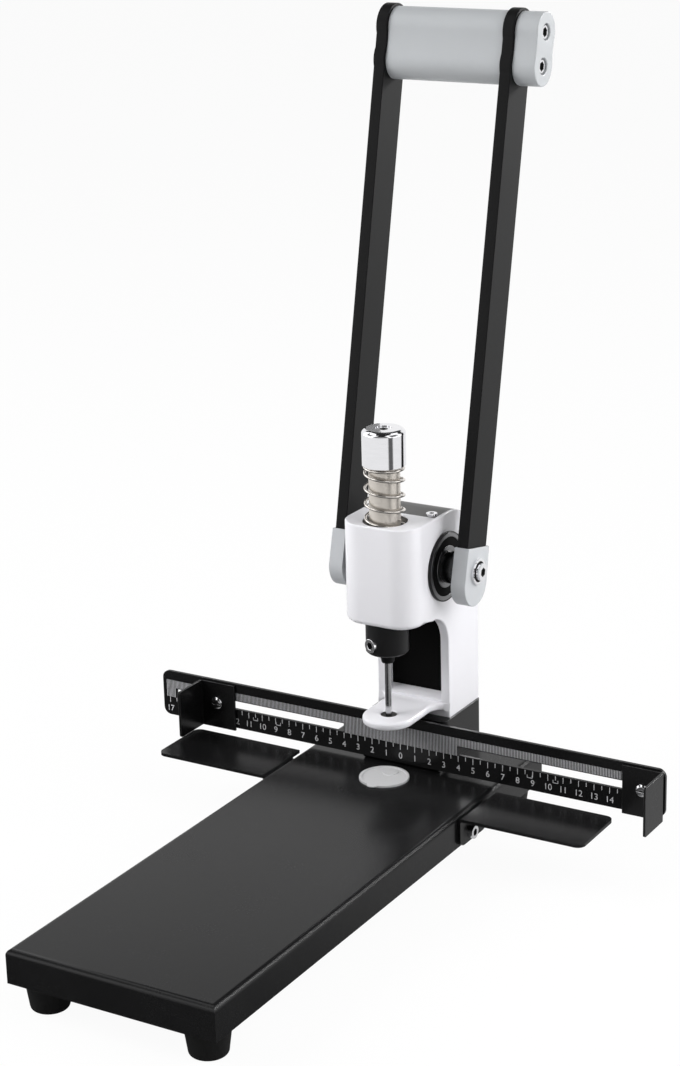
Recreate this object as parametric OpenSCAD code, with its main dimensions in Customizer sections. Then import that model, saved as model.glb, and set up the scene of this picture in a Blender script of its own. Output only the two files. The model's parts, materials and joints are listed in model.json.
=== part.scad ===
// Single hole punch: a lever turns a gear, the gear drives a rack cut in the spindle, and the spindle
// pushes a hollow bit through paper that lies against a ruled fence, onto a turning pad.
// Work frame: X along the fence, Y = 0 on the fence's front face, Z = 0 on the base's top.

/* [Base] */
// Width of the base
base_w = 132; // [110:1:160]
// Length of the base in front of the fence
base_front = 306; // [220:1:360]
// Length of the base behind the fence
base_back = 61; // [58:1:80]
// Height of the folded sides
base_h = 20; // [16:0.5:30]
// Thickness of the base sheet
base_t = 2; // [1.5:0.1:3]
// Outer radius of the folded edges
base_r = 3.5; // [3:0.1:5]
// Width of the lips that are folded in below
lip_w = 30; // [28:1:40]

/* [Feet] */
// Diameter of a foot under the base
foot_d = 25.2; // [18:0.2:28]
// Diameter of a foot on the table
foot_tip_d = 21.4; // [14:0.2:24]
// Height of a foot
foot_h = 17; // [12:0.5:30]
// Distance from the base's sides to the foot centres
foot_inset = 15.5; // [14.5:0.5:18]

/* [Fence] */
// Length of the fence
fence_l = 350; // [345:1:420]
// Height of the fence's top edge over the base
fence_top = 32; // [29:0.5:33]
// Height of the fence's lower edge over the base
fence_low = 2; // [1.5:0.1:4]
// Thickness of the fence sheet
fence_t = 2; // [1.5:0.1:3]
// Radius of the fence's corners
fence_r = 5; // [1:0.5:8]
// Height of the slots for the side stops
slot_h = 5.5; // [5.3:0.1:7]
// Height of the slots' middle over the base
slot_z = 17.5; // [15:0.5:20]
// Distance of the slots' inner ends from the middle
slot_in = 40; // [34:1:60]
// Distance of the slots' outer ends from the fence's ends
slot_end = 10; // [8:0.5:10.5]

/* [Side stops] */
// Width of a stop's plate
stop_w = 26; // [22:0.5:32]
// Reach of a stop's flange in front of the fence
stop_reach = 26.5; // [15:0.5:40]
// Thickness of the stops' sheet
stop_t = 1.6; // [1.2:0.1:2.5]
// Distance of the left stop's screw from the outer end of its slot
left_stop_in = 32.5; // [3:0.5:100]
// Distance of the right stop's screw from the outer end of its slot
right_stop_in = 3.5; // [3:0.5:100]

/* [Wings] */
// Reach of a wing beside the base
wing_w = 80; // [50:1:110]
// Depth of a wing
wing_d = 44; // [36:1:60]
// Distance of a wing from the fence
wing_gap = 6; // [3:0.5:10]
// Length of a wing's flange on the base's side
wing_flange_l = 33; // [20:1:36]
// Thickness of the wings' sheet
wing_t = 2; // [1.5:0.1:3]

/* [Punch] */
// Distance from the fence to the punch axis
punch_depth = 13.2; // [12:0.2:14]
// Diameter of the spindle
spindle_d = 18.8; // [18:0.2:19]
// Travel of the spindle
travel = 33.8; // [28:0.2:33.8]
// Diameter of the knob
knob_d = 26; // [22:0.5:30]
// Height of the knob
knob_h = 22.5; // [16:0.5:30]
// Diameter of the chuck
chuck_d = 26; // [24:0.5:28]
// Height of the chuck's barrel
chuck_h = 19; // [16:0.5:19.5]
// Diameter of the bit, which is the diameter of the holes
bit_d = 4; // [3:0.5:6]
// Height left between the bit and the pad at the end of the stroke
bit_clear = 0.2; // [0.1:0.1:0.5]

/* [Return spring] */
// Outer diameter of the spring
spring_d = 24.6; // [24.5:0.1:25.2]
// Diameter of the spring's wire
wire_d = 1.6; // [1.6:0.1:1.8]
// Turns of the spring
spring_turns = 5; // [4:1:5]

/* [Frame casting] */
// Width of the casting
frame_w = 50; // [48:1:56]
// Distance from the punch axis to the head's front
head_front = 15.3; // [15:0.1:18]
// Height of the head's underside over the base
head_low = 99; // [98:0.5:101]
// Height of the head's top over the base
head_top = 161.5; // [160:0.5:163]
// Radius of the head's upright front edges
head_r = 15; // [5:0.5:15]
// Radius of the head's rounded back
back_r = 38; // [36:0.5:40]
// Distance from the fence to the column's front
column_front = 17.5; // [16:0.5:20]
// Distance from the fence to the casting's back
column_back = 56; // [54:0.5:60]
// Thickness of the column's side walls
wall_t = 5.6; // [4:0.1:7]
// Radius of the throat under the head
throat_r = 20; // [12:0.5:22]
// Height of the foot plate's underside over the base
foot_low = 34; // [33.6:0.1:36]
// Height of the foot plate's top over the base
foot_top = 39; // [38:0.1:40]
// Radius of the foot plate's nose
nose_r = 16; // [12:0.5:20]
// Height of the pedestal's top over the base
pedestal_top = 30; // [26:0.5:32]

/* [Lever] */
// Height of the lever's pivot over the base
pivot_z = 128.8; // [127:0.2:130]
// Angle at which the lever leans back at rest
lean = 11.9; // [5:0.1:20]
// Distance from the pivot to the middle of the grip
grip_at = 305; // [220:1:360]
// Distance between the outer faces of the arms
arms_w = 90.4; // [84:0.2:110]
// Thickness of an arm
arm_t = 7.2; // [5:0.1:8]
// Width of an arm
arm_w = 24; // [21:0.5:25]
// Distance between the centres of the grip's two lobes
lobe_gap = 19.4; // [16:0.2:26]
// Radius of the grip's lobes
lobe_r = 11.6; // [9:0.1:12]
// Half width of the grip's waist
waist = 10.8; // [8.5:0.1:11]
// Thickness of the end cap on the right arm
cap_t = 14.6; // [10:0.2:20]
// Width of a hub's round lower end
hub_w = 28; // [27:0.2:30]
// Width of a hub's top
hub_top_w = 26.4; // [26:0.2:27]

/* [Drive] */
// Module of the gear and the rack
tooth_m = 2; // [1.5:0.5:2]
// Number of teeth of the gear
gear_n = 21; // [20:1:22]
// Width of the gear
gear_w = 16; // [12:0.5:16]
// Play between the teeth on the pitch line
backlash = 0.2; // [0.1:0.05:0.4]
// Outer diameter of the bearings
bearing_d = 41; // [40:0.5:42]
// Diameter of the lever shaft in the bearings
shaft_d = 20; // [18:0.5:22]
// Width of a bearing
bearing_w = 12; // [10:0.5:13]

/* [Pad] */
// Distance from the fence to the pad's centre
pad_depth = 20.4; // [19:0.2:22]
// Radius of the pad
pad_r = 15.2; // [13:0.1:16]
// Height of the pad's face over the base
pad_top = 1.2; // [0.8:0.1:1.4]
// Thickness of the pad
pad_t = 5; // [4:0.5:8]

/* [Clearances] */
// Radial play of a part that runs in a bore
run_gap = 0.05; // [0.02:0.01:0.08]
// Play of flat sliding faces
slide_gap = 0.1; // [0.05:0.05:0.2]
// Play between moving parts that pass each other
pass_gap = 0.3; // [0.3:0.05:0.4]

/* [Hidden] */
$fn = 64;
eps = 0.01;
// Share of a head's height that is left under its socket
socket_floor = 0.3;

// Places of the table, the punch and the lever in the work frame
base_z = foot_h + base_h;
punch_y = -punch_depth;
gear_r = tooth_m * gear_n / 2;
rack_offset = 5.8;
pivot_y = punch_y + rack_offset + gear_r;

// Lever sizes, measured from the pivot along the lever
arm_lip = 1.7;
arm_end_r = lobe_r + arm_lip;
upper_lobe = grip_at + lobe_gap / 2;
lower_lobe = grip_at - lobe_gap / 2;
arm_out = arms_w / 2;
arm_in = arm_out - arm_t;

// The box's middle goes over the origin, so the fence stands behind it
rear_y = pivot_y + upper_lobe * sin(lean) + arm_end_r;
fence_y = (base_front - rear_y) / 2;

// Heights of the punch at rest
knob_low = head_top + travel + bit_clear;
bit_tip = pad_top + bit_clear + travel;
chuck_top = head_low - pass_gap;
chuck_low = chuck_top - chuck_h;
cone_h = 7;
cone_top_r = 5.5;
cone_low_r = 3.7;
stub_r = 6;
stub_l = 8;
bit_shank_r = 3;
bit_shank_l = 17;
bit_wall = 0.6;
bit_edge = 0.2;
bit_taper = 2;
bit_bore_r = bit_d / 2 - bit_wall;
chuck_edge = 1;
knob_chamfer = 2;
knob_edge = 0.5;
knob_bore_depth = 15;
knob_well = 4;
knob_head_h = 3.4;
knob_screw_l = 14;
knob_socket = 4.8;

// Spring seat
bore_r = spindle_d / 2 + run_gap;
bush_t = 2;
bush_r = spindle_d / 2 + bush_t;
seat_gap = 1;
seat_r = spring_d / 2 + seat_gap;
seat_depth = 13;
seat_z = head_top - seat_depth;
coil_r = (spring_d - wire_d) / 2;

// Gear teeth
pressure = 20;
tooth_pitch = PI * tooth_m;
addendum = tooth_m;
dedendum = 1.25 * tooth_m;
gear_tip_r = gear_r + addendum;
gear_root_r = gear_r - dedendum;
gear_base_r = gear_r * cos(pressure);
flank_steps = 5;
rack_y = pivot_y - gear_r;
rack_spare = 2;
room_gap = 0.6;
room_r = gear_tip_r + room_gap;
room_w = gear_w + 2 * room_gap;

// Bearings, spacers and hubs along the shaft
bearing_out = 2;
bearing_x = frame_w / 2 + bearing_out;
race_t = 2.4;
inner_race_t = 2.8;
inner_r = shaft_d / 2 + inner_race_t;
seal_t = 1.2;
seal_in = 0.3;
cover_rim = 0.8;
shoulder_r = inner_r + pass_gap;
spacer_step = 0.2;
spacer_r = shaft_d / 2 - spacer_step;
hub_wall_in = 1;
hub_wall_out = 1.5;
hub_in = arm_in - hub_wall_in;
hub_out = arm_out + hub_wall_out;
hub_low = 21.2;
hub_high = 14.2;
end_r = 7;
end_flat = 10;
key_w = 6;
key_h = 6;
washer_r = 8;
washer_t = 1.6;
washer_floor = 0.6;
washer_cup_r = 6.3;
pivot_screw_r = 3;
pivot_head_r = 5.2;
pivot_head_h = 3.4;
pivot_screw_l = 22;
pivot_socket = 5;

// Cover plate on the head
cover_t = 1.5;
cover_front = 3.4;
cover_edge = 1.2;
cover_land = 6.6;
cover_tail = 9;
cover_low = back_low_z() - cover_tail;
cover_screw_r = 1.5;
cover_head_r = 3.4;
cover_screw_in = 3.8;
cover_screw_l = 6;
cover_head_h = 1.6;
cover_socket = 2.5;

// Column and pedestal
panel_t = 1.5;
panel_in = 8.5;
panel_y = column_front + panel_in;
ramp_in = 6;
ramp_rise = 3.4;
floor_z = foot_top + ramp_rise;
ledge = 3;
rear_wall = 5;
bolt_r = 3;
bolt_x = 15;
bolt_front = 6;
bolt_rear = 9;
bolt_y = [column_front + bolt_front, column_back - bolt_rear];
bolt_head_r = 5;
bolt_head_h = 5;
bolt_l = 8;
bolt_socket = 5;
bit_hole_r = 5;
pedestal_over = 1.5;
pedestal_w = frame_w + 2 * pedestal_over;
pedestal_front = 9;
pedestal_back = column_back;
pedestal_wall = 4;
pedestal_r = 4;
boss_r = 6;

// Fence tab under the pedestal
tab_w = pedestal_w;
tab_r = 1;

// Stops, wings and their screws
driver_slot = 0.9;
slot_out = fence_l / 2 - slot_end;
left_stop_x = left_stop_in - slot_out;
right_stop_x = slot_out - right_stop_in;
stop_low = 0.4;
stop_below = 1;
stop_top = fence_top - stop_below;
stop_r = 1.5;
stop_bend = 2;
stop_screw_in = 13;
stop_screw_r = 2.5;
stop_head_r = 4;
stop_head_h = 2.2;
nut_r = 4.6;
nut_h = 4;
screw_past_nut = 2;
wing_z = -1;
wing_r = 5;
wing_up = 0.6;
wing_screw_in = 13;
wing_bend = 3;
wing_screw_r = 2;
wing_head_r = 4;
wing_head_h = 3;
wing_screw_z = -14;
wing_screw_l = 7;
wing_socket = 4;

// Feet and their screws
foot_x = base_w / 2 - foot_inset;
foot_y = [foot_inset - base_front, base_back - foot_inset];
foot_screw_r = 2.5;
foot_head_r = 4.5;
foot_head_h = 3;
foot_well_r = 5.5;
foot_web = 5;
foot_rim = 2;
foot_chamfer = 1.2;
foot_screw_past = 3;

// Pad and its cup
pad_rim = 1.6;
pad_dish = 0.5;
bit_land = 3;
tab_reach = 2.4;
tab_half_w = 3.5;
cup_t = 1.2;
cup_flange = 5;

// Grip screws
grip_screw_r = 3;
grip_head_r = 3.9;
grip_well_r = 4.8;
grip_well = 1;
grip_head_h = 5;
grip_screw_l = 30;
left_screw_l = 24;
left_head_h = 2.6;
grip_socket = 5;

// Chuck screw
set_screw_r = 4.4;
set_screw_turn = -19;
set_screw_up = 6.4;
set_screw_out = 1.2;
set_screw_socket = 4;

black = "#1c1c1e";
white = "#ebebef";
grey = "#b6babe";
steel = "#b9b6b0";
chrome = "#d8d8dc";
dark_metal = "#6a6a6c";
bronze = "#b08d57";

// Height at which the head's round back meets the straight back
function back_low_z() = head_top - back_r;

// Puts what is drawn in the work frame into the part's frame
module place() translate([0, fence_y, base_z]) children();

// The lever's own frame: the pivot at the origin, Z along the arms
module on_pivot() place() translate([0, pivot_y, pivot_z]) children();
module on_lever() on_pivot() rotate([-lean, 0, 0]) children();

// Punch axis as the Z axis
module on_punch() place() translate([0, punch_y, 0]) children();

// Extrudes a (Y, Z) outline along X, from the middle to both sides or between two planes
module across(w) rotate([90, 0, 90]) linear_extrude(w, center = true) children();
module across_from(x0, x1) translate([x0, 0, 0]) rotate([90, 0, 90]) linear_extrude(x1 - x0) children();

// Extrudes an (X, Z) outline along Y
module along(y0, y1) translate([0, y1, 0]) rotate([90, 0, 0]) linear_extrude(y1 - y0) children();

// Rod along X
module rod(r, x0, x1) translate([x0, 0, 0]) rotate([0, 90, 0]) cylinder(r = r, h = x1 - x0);

// Ring along X
module ring(r_out, r_in, x0, x1) difference() {
    rod(r_out, x0, x1);
    rod(r_in, x0 - 1, x1 + 1);
}

// The same shape on the right and on the left
module both_sides() {
    children();
    mirror([1, 0, 0]) children();
}

// Rectangle with round corners, from one corner to the other
module round_rect(x0, y0, x1, y1, r) {
    translate([x0 + r, y0]) square([x1 - x0 - 2 * r, y1 - y0]);
    translate([x0, y0 + r]) square([x1 - x0, y1 - y0 - 2 * r]);
    for (x = [x0 + r, x1 - r], y = [y0 + r, y1 - r]) translate([x, y]) circle(r);
}

// Strip that is open at the bottom, with round upper corners
module hood_outline(half_w, low, top, r) {
    translate([-half_w, low]) square([2 * half_w, top - r - low]);
    translate([r - half_w, low]) square([2 * (half_w - r), top - low]);
    for (x = [-1, 1]) translate([x * (half_w - r), top - r]) circle(r);
}

// Block with its four upper edges round, as folded sheet is
module folded_block(x, y0, y1, low, top, r) intersection() {
    along(y0, y1) hood_outline(x, low, top, r);
    translate([0, (y0 + y1) / 2, 0]) across(2 * x) hood_outline((y1 - y0) / 2, low, top, r);
}

// Corner of a bent sheet: a quarter of a ring about the origin, in the quadrant of -X and +Y
module bend(r, t) difference() {
    intersection() {
        circle(r);
        translate([-r, 0]) square(r);
    }
    circle(r - t);
}

// Round screw with a hexagon socket, head up, with its head's seat at z = 0
module socket_screw(shank_r, shank_l, head_r, head_h, socket) difference() {
    union() {
        translate([0, 0, -shank_l]) cylinder(r = shank_r, h = shank_l + eps);
        cylinder(r = head_r, h = head_h);
    }
    translate([0, 0, head_h * socket_floor]) cylinder(d = socket / cos(30), h = head_h, $fn = 6);
}

// Round screw with a straight slot, head up, with its head's seat at z = 0
module slotted_screw(shank_r, shank_l, head_r, head_h) difference() {
    union() {
        translate([0, 0, -shank_l]) cylinder(r = shank_r, h = shank_l + eps);
        rotate_extrude()
            polygon([[0, 0], [head_r, 0], [head_r, head_h / 2], [head_r - head_h / 2, head_h], [0, head_h]]);
    }
    translate([-head_r, -driver_slot / 2, head_h / 2]) cube([2 * head_r, driver_slot, head_h]);
}

// Places of the four frame bolts and of the four feet
module at_bolts() for (x = [-bolt_x, bolt_x], y = bolt_y) translate([x, y, 0]) children();
module at_feet() for (x = [-foot_x, foot_x], y = foot_y) translate([x, y, 0]) children();

// Base: one folded sheet, open below, with lips for the feet
module base_plate() color(black) place() difference() {
    folded_block(base_w / 2, -base_front, base_back, -base_h, 0, base_r);
    folded_block(base_w / 2 - base_t, base_t - base_front, base_back - base_t, base_t - base_h, -base_t,
        base_r - base_t);
    translate([lip_w - base_w / 2, lip_w - base_front, -base_h - 1])
        cube([base_w - 2 * lip_w, base_front + base_back - 2 * lip_w, 2 * base_t + 1]);
    translate([0, -pad_depth, -2 * base_t]) cylinder(r = pad_r + pass_gap, h = 3 * base_t);
    at_feet() translate([0, 0, -base_h - 1]) cylinder(r = foot_screw_r + run_gap, h = base_t + 2);
    at_bolts() translate([0, 0, -2 * base_t]) cylinder(r = bolt_r + run_gap, h = 3 * base_t);
    translate([0, wing_screw_y(), wing_screw_z]) rod(wing_screw_r + run_gap, -base_w, base_w);
}

// Four tapered feet with a well for their screws
module rubber_feet() color(black) place() at_feet() translate([0, 0, -base_z])
    rotate_extrude() difference() {
        polygon([
            [0, 0], [foot_tip_d / 2 - foot_chamfer, 0], [foot_tip_d / 2, foot_chamfer],
            [foot_d / 2, foot_h - foot_rim], [foot_d / 2, foot_h], [0, foot_h]
        ]);
        translate([-1, -1]) square([foot_well_r + 1, foot_h - foot_web + 1]);
        translate([-1, -1]) square([foot_screw_r + run_gap + 1, foot_h + 2]);
    }

// Screws that hold the feet, head down in the wells
module foot_screws() color(steel) place() at_feet() translate([0, 0, -base_h - foot_web]) rotate([180, 0, 0])
    slotted_screw(foot_screw_r, foot_web + base_t + foot_screw_past, foot_head_r, foot_head_h);

// Pedestal: a hollow block between the base and the casting, with four bosses for the bolts
module pedestal() color(black) place() difference() {
    translate([0, 0, fence_t]) linear_extrude(pedestal_top - fence_t)
        round_rect(-pedestal_w / 2, pedestal_front, pedestal_w / 2, pedestal_back, pedestal_r);
    difference() {
        translate([pedestal_wall - pedestal_w / 2, pedestal_front + pedestal_wall, fence_t - 1])
            cube([pedestal_w - 2 * pedestal_wall, pedestal_back - pedestal_front - 2 * pedestal_wall,
                pedestal_top - fence_t - pedestal_wall + 1]);
        at_bolts() cylinder(r = boss_r, h = pedestal_top);
    }
    at_bolts() cylinder(r = bolt_r + run_gap, h = pedestal_top + 1);
}

// Four bolts from below, through base, fence tab and pedestal into the casting
module frame_bolts() color(steel) place() at_bolts() translate([0, 0, -base_t]) rotate([180, 0, 0])
    socket_screw(bolt_r, base_t + pedestal_top + bolt_l, bolt_head_r, bolt_head_h, bolt_socket);

// Outline of the head's top and round back, the given inset below its faces
module back_outline(inset, front, low) difference() {
    translate([front, low]) square([column_back - inset - front, head_top - inset - low]);
    translate([column_back - back_r, back_low_z()]) difference() {
        square(back_r + 1);
        circle(back_r - inset);
    }
}

// Side outline of the casting: head, throat, column and floor
module casting_side() {
    back_outline(0, punch_y - head_front, head_low);
    translate([column_front, pedestal_top])
        square([column_back - column_front, head_low - pedestal_top + eps]);
    translate([column_front - throat_r, head_low - throat_r]) difference() {
        square(throat_r + eps);
        circle(throat_r);
    }
}

// Outline of the head and column from above
module casting_plan() {
    y0 = punch_y - head_front;
    translate([-frame_w / 2, y0 + head_r]) square([frame_w, column_back - y0 - head_r]);
    translate([head_r - frame_w / 2, y0]) square([frame_w - 2 * head_r, head_r + eps]);
    for (x = [-1, 1]) translate([x * (frame_w / 2 - head_r), y0 + head_r]) circle(head_r);
}

// Foot plate from above: a round nose that flares into the column
module foot_plan() {
    flare = frame_w / 2 - nose_r;
    translate([0, punch_y]) circle(nose_r);
    translate([-nose_r, punch_y]) square([2 * nose_r, column_front - punch_y + eps]);
    difference() {
        translate([-frame_w / 2, column_front - flare]) square([frame_w, flare + eps]);
        for (x = [-1, 1]) translate([x * frame_w / 2, column_front - flare]) circle(flare);
    }
}

// Sheet along the top and the round back, inside the given edge
module cover_strip(inset, front, low) difference() {
    back_outline(0, front, low);
    back_outline(inset, front - 1, low - 1);
}

// Places of the cover's screws: two on the top, two on the back, screw axis along Z
module at_cover_screws() both_sides() {
    translate([frame_w / 2 - cover_edge - cover_screw_in, cover_front + cover_screw_in, head_top]) children();
    translate([frame_w / 2 - cover_edge - cover_screw_in, column_back, cover_low + cover_screw_in])
        rotate([-90, 0, 0]) children();
}

// Recess for the cover, open to the outside
module cover_recess() across(frame_w - 2 * cover_edge + 2 * slide_gap) difference() {
    translate([cover_front, cover_low])
        square([column_back - cover_front + 1, head_top - cover_low + 1]);
    back_outline(cover_t, cover_front - 1, cover_low - 1);
}

// Room between the column's walls, over its sloping floor, with ledges for the panel
module column_room() difference() {
    translate([wall_t - frame_w / 2, punch_y, foot_top])
        cube([frame_w - 2 * wall_t, column_back - rear_wall - punch_y, head_low - foot_top]);
    across(frame_w) polygon([
        [column_front - ramp_in, foot_top - 1], [column_front - ramp_in, foot_top], [panel_y, floor_z],
        [column_back, floor_z], [column_back, foot_top - 1]
    ]);
    for (x = [wall_t - frame_w / 2 - eps, frame_w / 2 - wall_t - ledge])
        translate([x, panel_y + panel_t, foot_top]) cube([ledge + eps, ledge, head_low - foot_top + 1]);
}

// C-shaped casting: head with the gear room, hollow column and foot plate
module column_frame() color(white) place() difference() {
    union() {
        difference() {
            intersection() {
                across(frame_w) casting_side();
                translate([0, 0, pedestal_top - 1]) linear_extrude(head_top) casting_plan();
            }
            column_room();
        }
        translate([0, 0, foot_low]) linear_extrude(foot_top - foot_low) foot_plan();
    }
    cover_recess();
    at_cover_screws() translate([0, 0, -cover_t - cover_screw_l - 1])
        cylinder(r = cover_screw_r + run_gap, h = cover_screw_l + 2);
    translate([0, punch_y, 0]) {
        translate([0, 0, head_low - 1]) cylinder(r = bush_r, h = head_top);
        translate([0, 0, seat_z]) cylinder(r = seat_r, h = head_top);
        translate([0, 0, foot_low - 1]) cylinder(r = bit_hole_r, h = foot_top);
    }
    translate([0, pivot_y, pivot_z]) {
        gear_room();
        rod(shoulder_r, -frame_w, frame_w);
        both_sides() rod(bearing_d / 2, bearing_x - bearing_w, bearing_x);
    }
    at_bolts() cylinder(r = bolt_r, h = pedestal_top + bolt_l);
}

// Room for the gear, about the pivot, open to the top for assembly
module gear_room() {
    across(room_w) circle(room_r);
    across(room_w) translate([cover_front + cover_land - pivot_y, 0])
        square([room_r - cover_front - cover_land + pivot_y, head_top - pivot_z + 1]);
}

// Dark panel that closes the hollow column behind the punch
module throat_panel() color(black) place()
    translate([wall_t - frame_w / 2, panel_y, floor_z])
        cube([frame_w - 2 * wall_t, panel_t, head_low - floor_z]);

// Bent cover sheet over the gear
module head_cover() color(dark_metal) place() difference() {
    across(frame_w - 2 * cover_edge) cover_strip(cover_t, cover_front + slide_gap, cover_low + slide_gap);
    at_cover_screws() translate([0, 0, -cover_t - 1]) cylinder(r = cover_screw_r + run_gap, h = cover_t + 2);
}

module cover_screws() color(chrome) place() at_cover_screws()
    socket_screw(cover_screw_r, cover_t + cover_screw_l, cover_head_r, cover_head_h, cover_socket);

// Outline of one rack gap, pointing away from the gear, with its middle on the pitch line
module rack_gap() {
    open = addendum + 1;
    half = tooth_pitch / 4 + backlash / 4;
    polygon([
        [-dedendum, half - dedendum * tan(pressure)], [open, half + open * tan(pressure)],
        [open, -half - open * tan(pressure)], [-dedendum, dedendum * tan(pressure) - half]
    ]);
}

// Spindle with the rack along its back and a stub for the chuck
module spindle() color(steel) place() difference() {
    translate([0, punch_y, 0]) {
        translate([0, 0, chuck_top]) cylinder(d = spindle_d, h = knob_low + knob_bore_depth - chuck_top);
        translate([0, 0, chuck_top - stub_l]) cylinder(r = stub_r, h = stub_l + eps);
    }
    translate([0, punch_y, knob_low]) difference() {
        cylinder(d = spindle_d + 2, h = knob_bore_depth + 1);
        translate([0, 0, -1]) cylinder(r = stub_r, h = knob_bore_depth + 3);
    }
    translate([0, punch_y, knob_low]) cylinder(r = bolt_r, h = knob_bore_depth + 1);
    rack_low = pivot_z - (rack_spare + 0.5) * tooth_pitch;
    rack_high = pivot_z + travel + (rack_spare + 0.5) * tooth_pitch;
    translate([-spindle_d, rack_y + addendum, rack_low])
        cube([2 * spindle_d, spindle_d, rack_high - rack_low]);
    for (k = [-rack_spare : rack_spare + floor(travel / tooth_pitch)])
        translate([0, rack_y, pivot_z + k * tooth_pitch]) across(2 * spindle_d) rack_gap();
}

// Bronze bush in the head, with a window for the gear
module spindle_bush() color(bronze) place() difference() {
    translate([0, punch_y, head_low]) difference() {
        cylinder(r = bush_r, h = seat_z - head_low);
        translate([0, 0, -1]) cylinder(r = bore_r, h = seat_z);
    }
    translate([0, pivot_y, pivot_z]) gear_room();
}

// Knob on top of the spindle
module spindle_knob() color(chrome) on_punch() translate([0, 0, knob_low]) difference() {
    rotate_extrude() polygon([
        [0, 0], [knob_d / 2 - knob_edge, 0], [knob_d / 2, knob_edge], [knob_d / 2, knob_h - knob_chamfer],
        [knob_d / 2 - knob_chamfer, knob_h], [0, knob_h]
    ]);
    translate([0, 0, -1]) cylinder(r = stub_r, h = knob_bore_depth + 1);
    cylinder(r = bolt_r + run_gap, h = knob_h);
    translate([0, 0, knob_h - knob_well]) cylinder(r = bolt_head_r + run_gap, h = knob_well + 1);
}

module knob_screw() color(chrome) on_punch() translate([0, 0, knob_low + knob_h - knob_well])
    socket_screw(bolt_r, knob_screw_l, bolt_head_r, knob_head_h, knob_socket);

// Path of the spring's wire: straight ends that stand on their seats, and a left-hand helix between them
spring_l = knob_low - seat_z;
spring_rise = spring_l - 2 * wire_d;
rings_per_turn = 8;
wire_sides = 6;
helix_rings = spring_turns * rings_per_turn;
function helix_point(k) = let (a = -360 * k / rings_per_turn)
    [coil_r * cos(a), coil_r * sin(a), wire_d + spring_rise * k / helix_rings];
spring_path = concat(
    [[coil_r, 0, 0]],
    [for (k = [0 : helix_rings]) helix_point(k)],
    [[coil_r, 0, spring_l]]
);

// Ring of the wire at one point of the path, square to the way it runs
function unit(v) = v / norm(v);
function wire_ring(path, i) = let (
    p = path[i],
    tangent = unit(path[min(i + 1, len(path) - 1)] - path[max(i - 1, 0)]),
    outward = unit([p[0], p[1], 0]),
    side = cross(tangent, outward)
) [for (s = [0 : wire_sides - 1]) let (a = 360 * (s + 0.5) / wire_sides)
    p + wire_d / 2 * (cos(a) * outward + sin(a) * side)];
function tube_faces(rings) = concat(
    [for (s = [1 : wire_sides - 2]) [0, s + 1, s]],
    [for (i = [0 : rings - 2], s = [0 : wire_sides - 1], half = [0, 1]) let (
        a = i * wire_sides + s,
        b = i * wire_sides + (s + 1) % wire_sides
    ) half == 0 ? [a, b, b + wire_sides] : [a, b + wire_sides, a + wire_sides]],
    [for (s = [1 : wire_sides - 2]) let (o = (rings - 1) * wire_sides) [o, o + s, o + s + 1]]
);

// Least gap of the wire to itself, between points at least half a turn apart
function path_gap(path, apart) = min([
    for (i = [0 : len(path) - 1], j = [i + apart : 1 : len(path) - 1]) norm(path[i] - path[j])
]) - wire_d;
echo(least_gap_of_spring = path_gap(spring_path, rings_per_turn / 2));

// Return spring round the spindle, from its seat in the head to the knob
module return_spring() color(steel) on_punch() translate([0, 0, seat_z]) polyhedron(
    points = [for (i = [0 : len(spring_path) - 1]) each wire_ring(spring_path, i)],
    faces = tube_faces(len(spring_path))
);

// Chuck that holds the bit, with a cone below
module chuck() color(black) on_punch() translate([0, 0, chuck_low]) difference() {
    rotate_extrude() polygon([
        [0, -cone_h], [cone_low_r, -cone_h], [cone_top_r, 0], [chuck_d / 2 - chuck_edge, 0],
        [chuck_d / 2, chuck_edge], [chuck_d / 2, chuck_h], [0, chuck_h]
    ]);
    translate([0, 0, chuck_h - stub_l]) cylinder(r = stub_r, h = stub_l + 1);
    translate([0, 0, -cone_h - 1]) cylinder(r = bit_shank_r, h = bit_shank_l + 1);
    at_set_screw() translate([0, 0, -1]) cylinder(r = set_screw_r, h = chuck_d);
}

// Place of the chuck's screw, its axis as Z and its origin on the bit's shank
module at_set_screw() translate([0, 0, set_screw_up]) rotate([0, 0, set_screw_turn]) rotate([90, 0, 0])
    translate([0, 0, bit_shank_r]) children();

module chuck_set_screw() color(chrome) on_punch() translate([0, 0, chuck_low]) at_set_screw() difference() {
    cylinder(r = set_screw_r, h = chuck_d / 2 + set_screw_out - bit_shank_r);
    translate([0, 0, chuck_d / 2 - bit_shank_r - set_screw_socket])
        cylinder(d = set_screw_socket / cos(30), h = chuck_d, $fn = 6);
}

// Hollow punch bit
module punch_bit() color(chrome) on_punch() rotate_extrude() difference() {
    polygon([
        [0, bit_tip], [bit_bore_r + bit_edge, bit_tip], [bit_d / 2, bit_tip + bit_taper],
        [bit_d / 2, chuck_low - cone_h],
        [bit_shank_r, chuck_low - cone_h], [bit_shank_r, chuck_low - cone_h + bit_shank_l],
        [0, chuck_low - cone_h + bit_shank_l]
    ]);
    translate([-1, bit_tip - 1]) square([bit_bore_r + 1, chuck_low - cone_h - bit_tip]);
}

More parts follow.
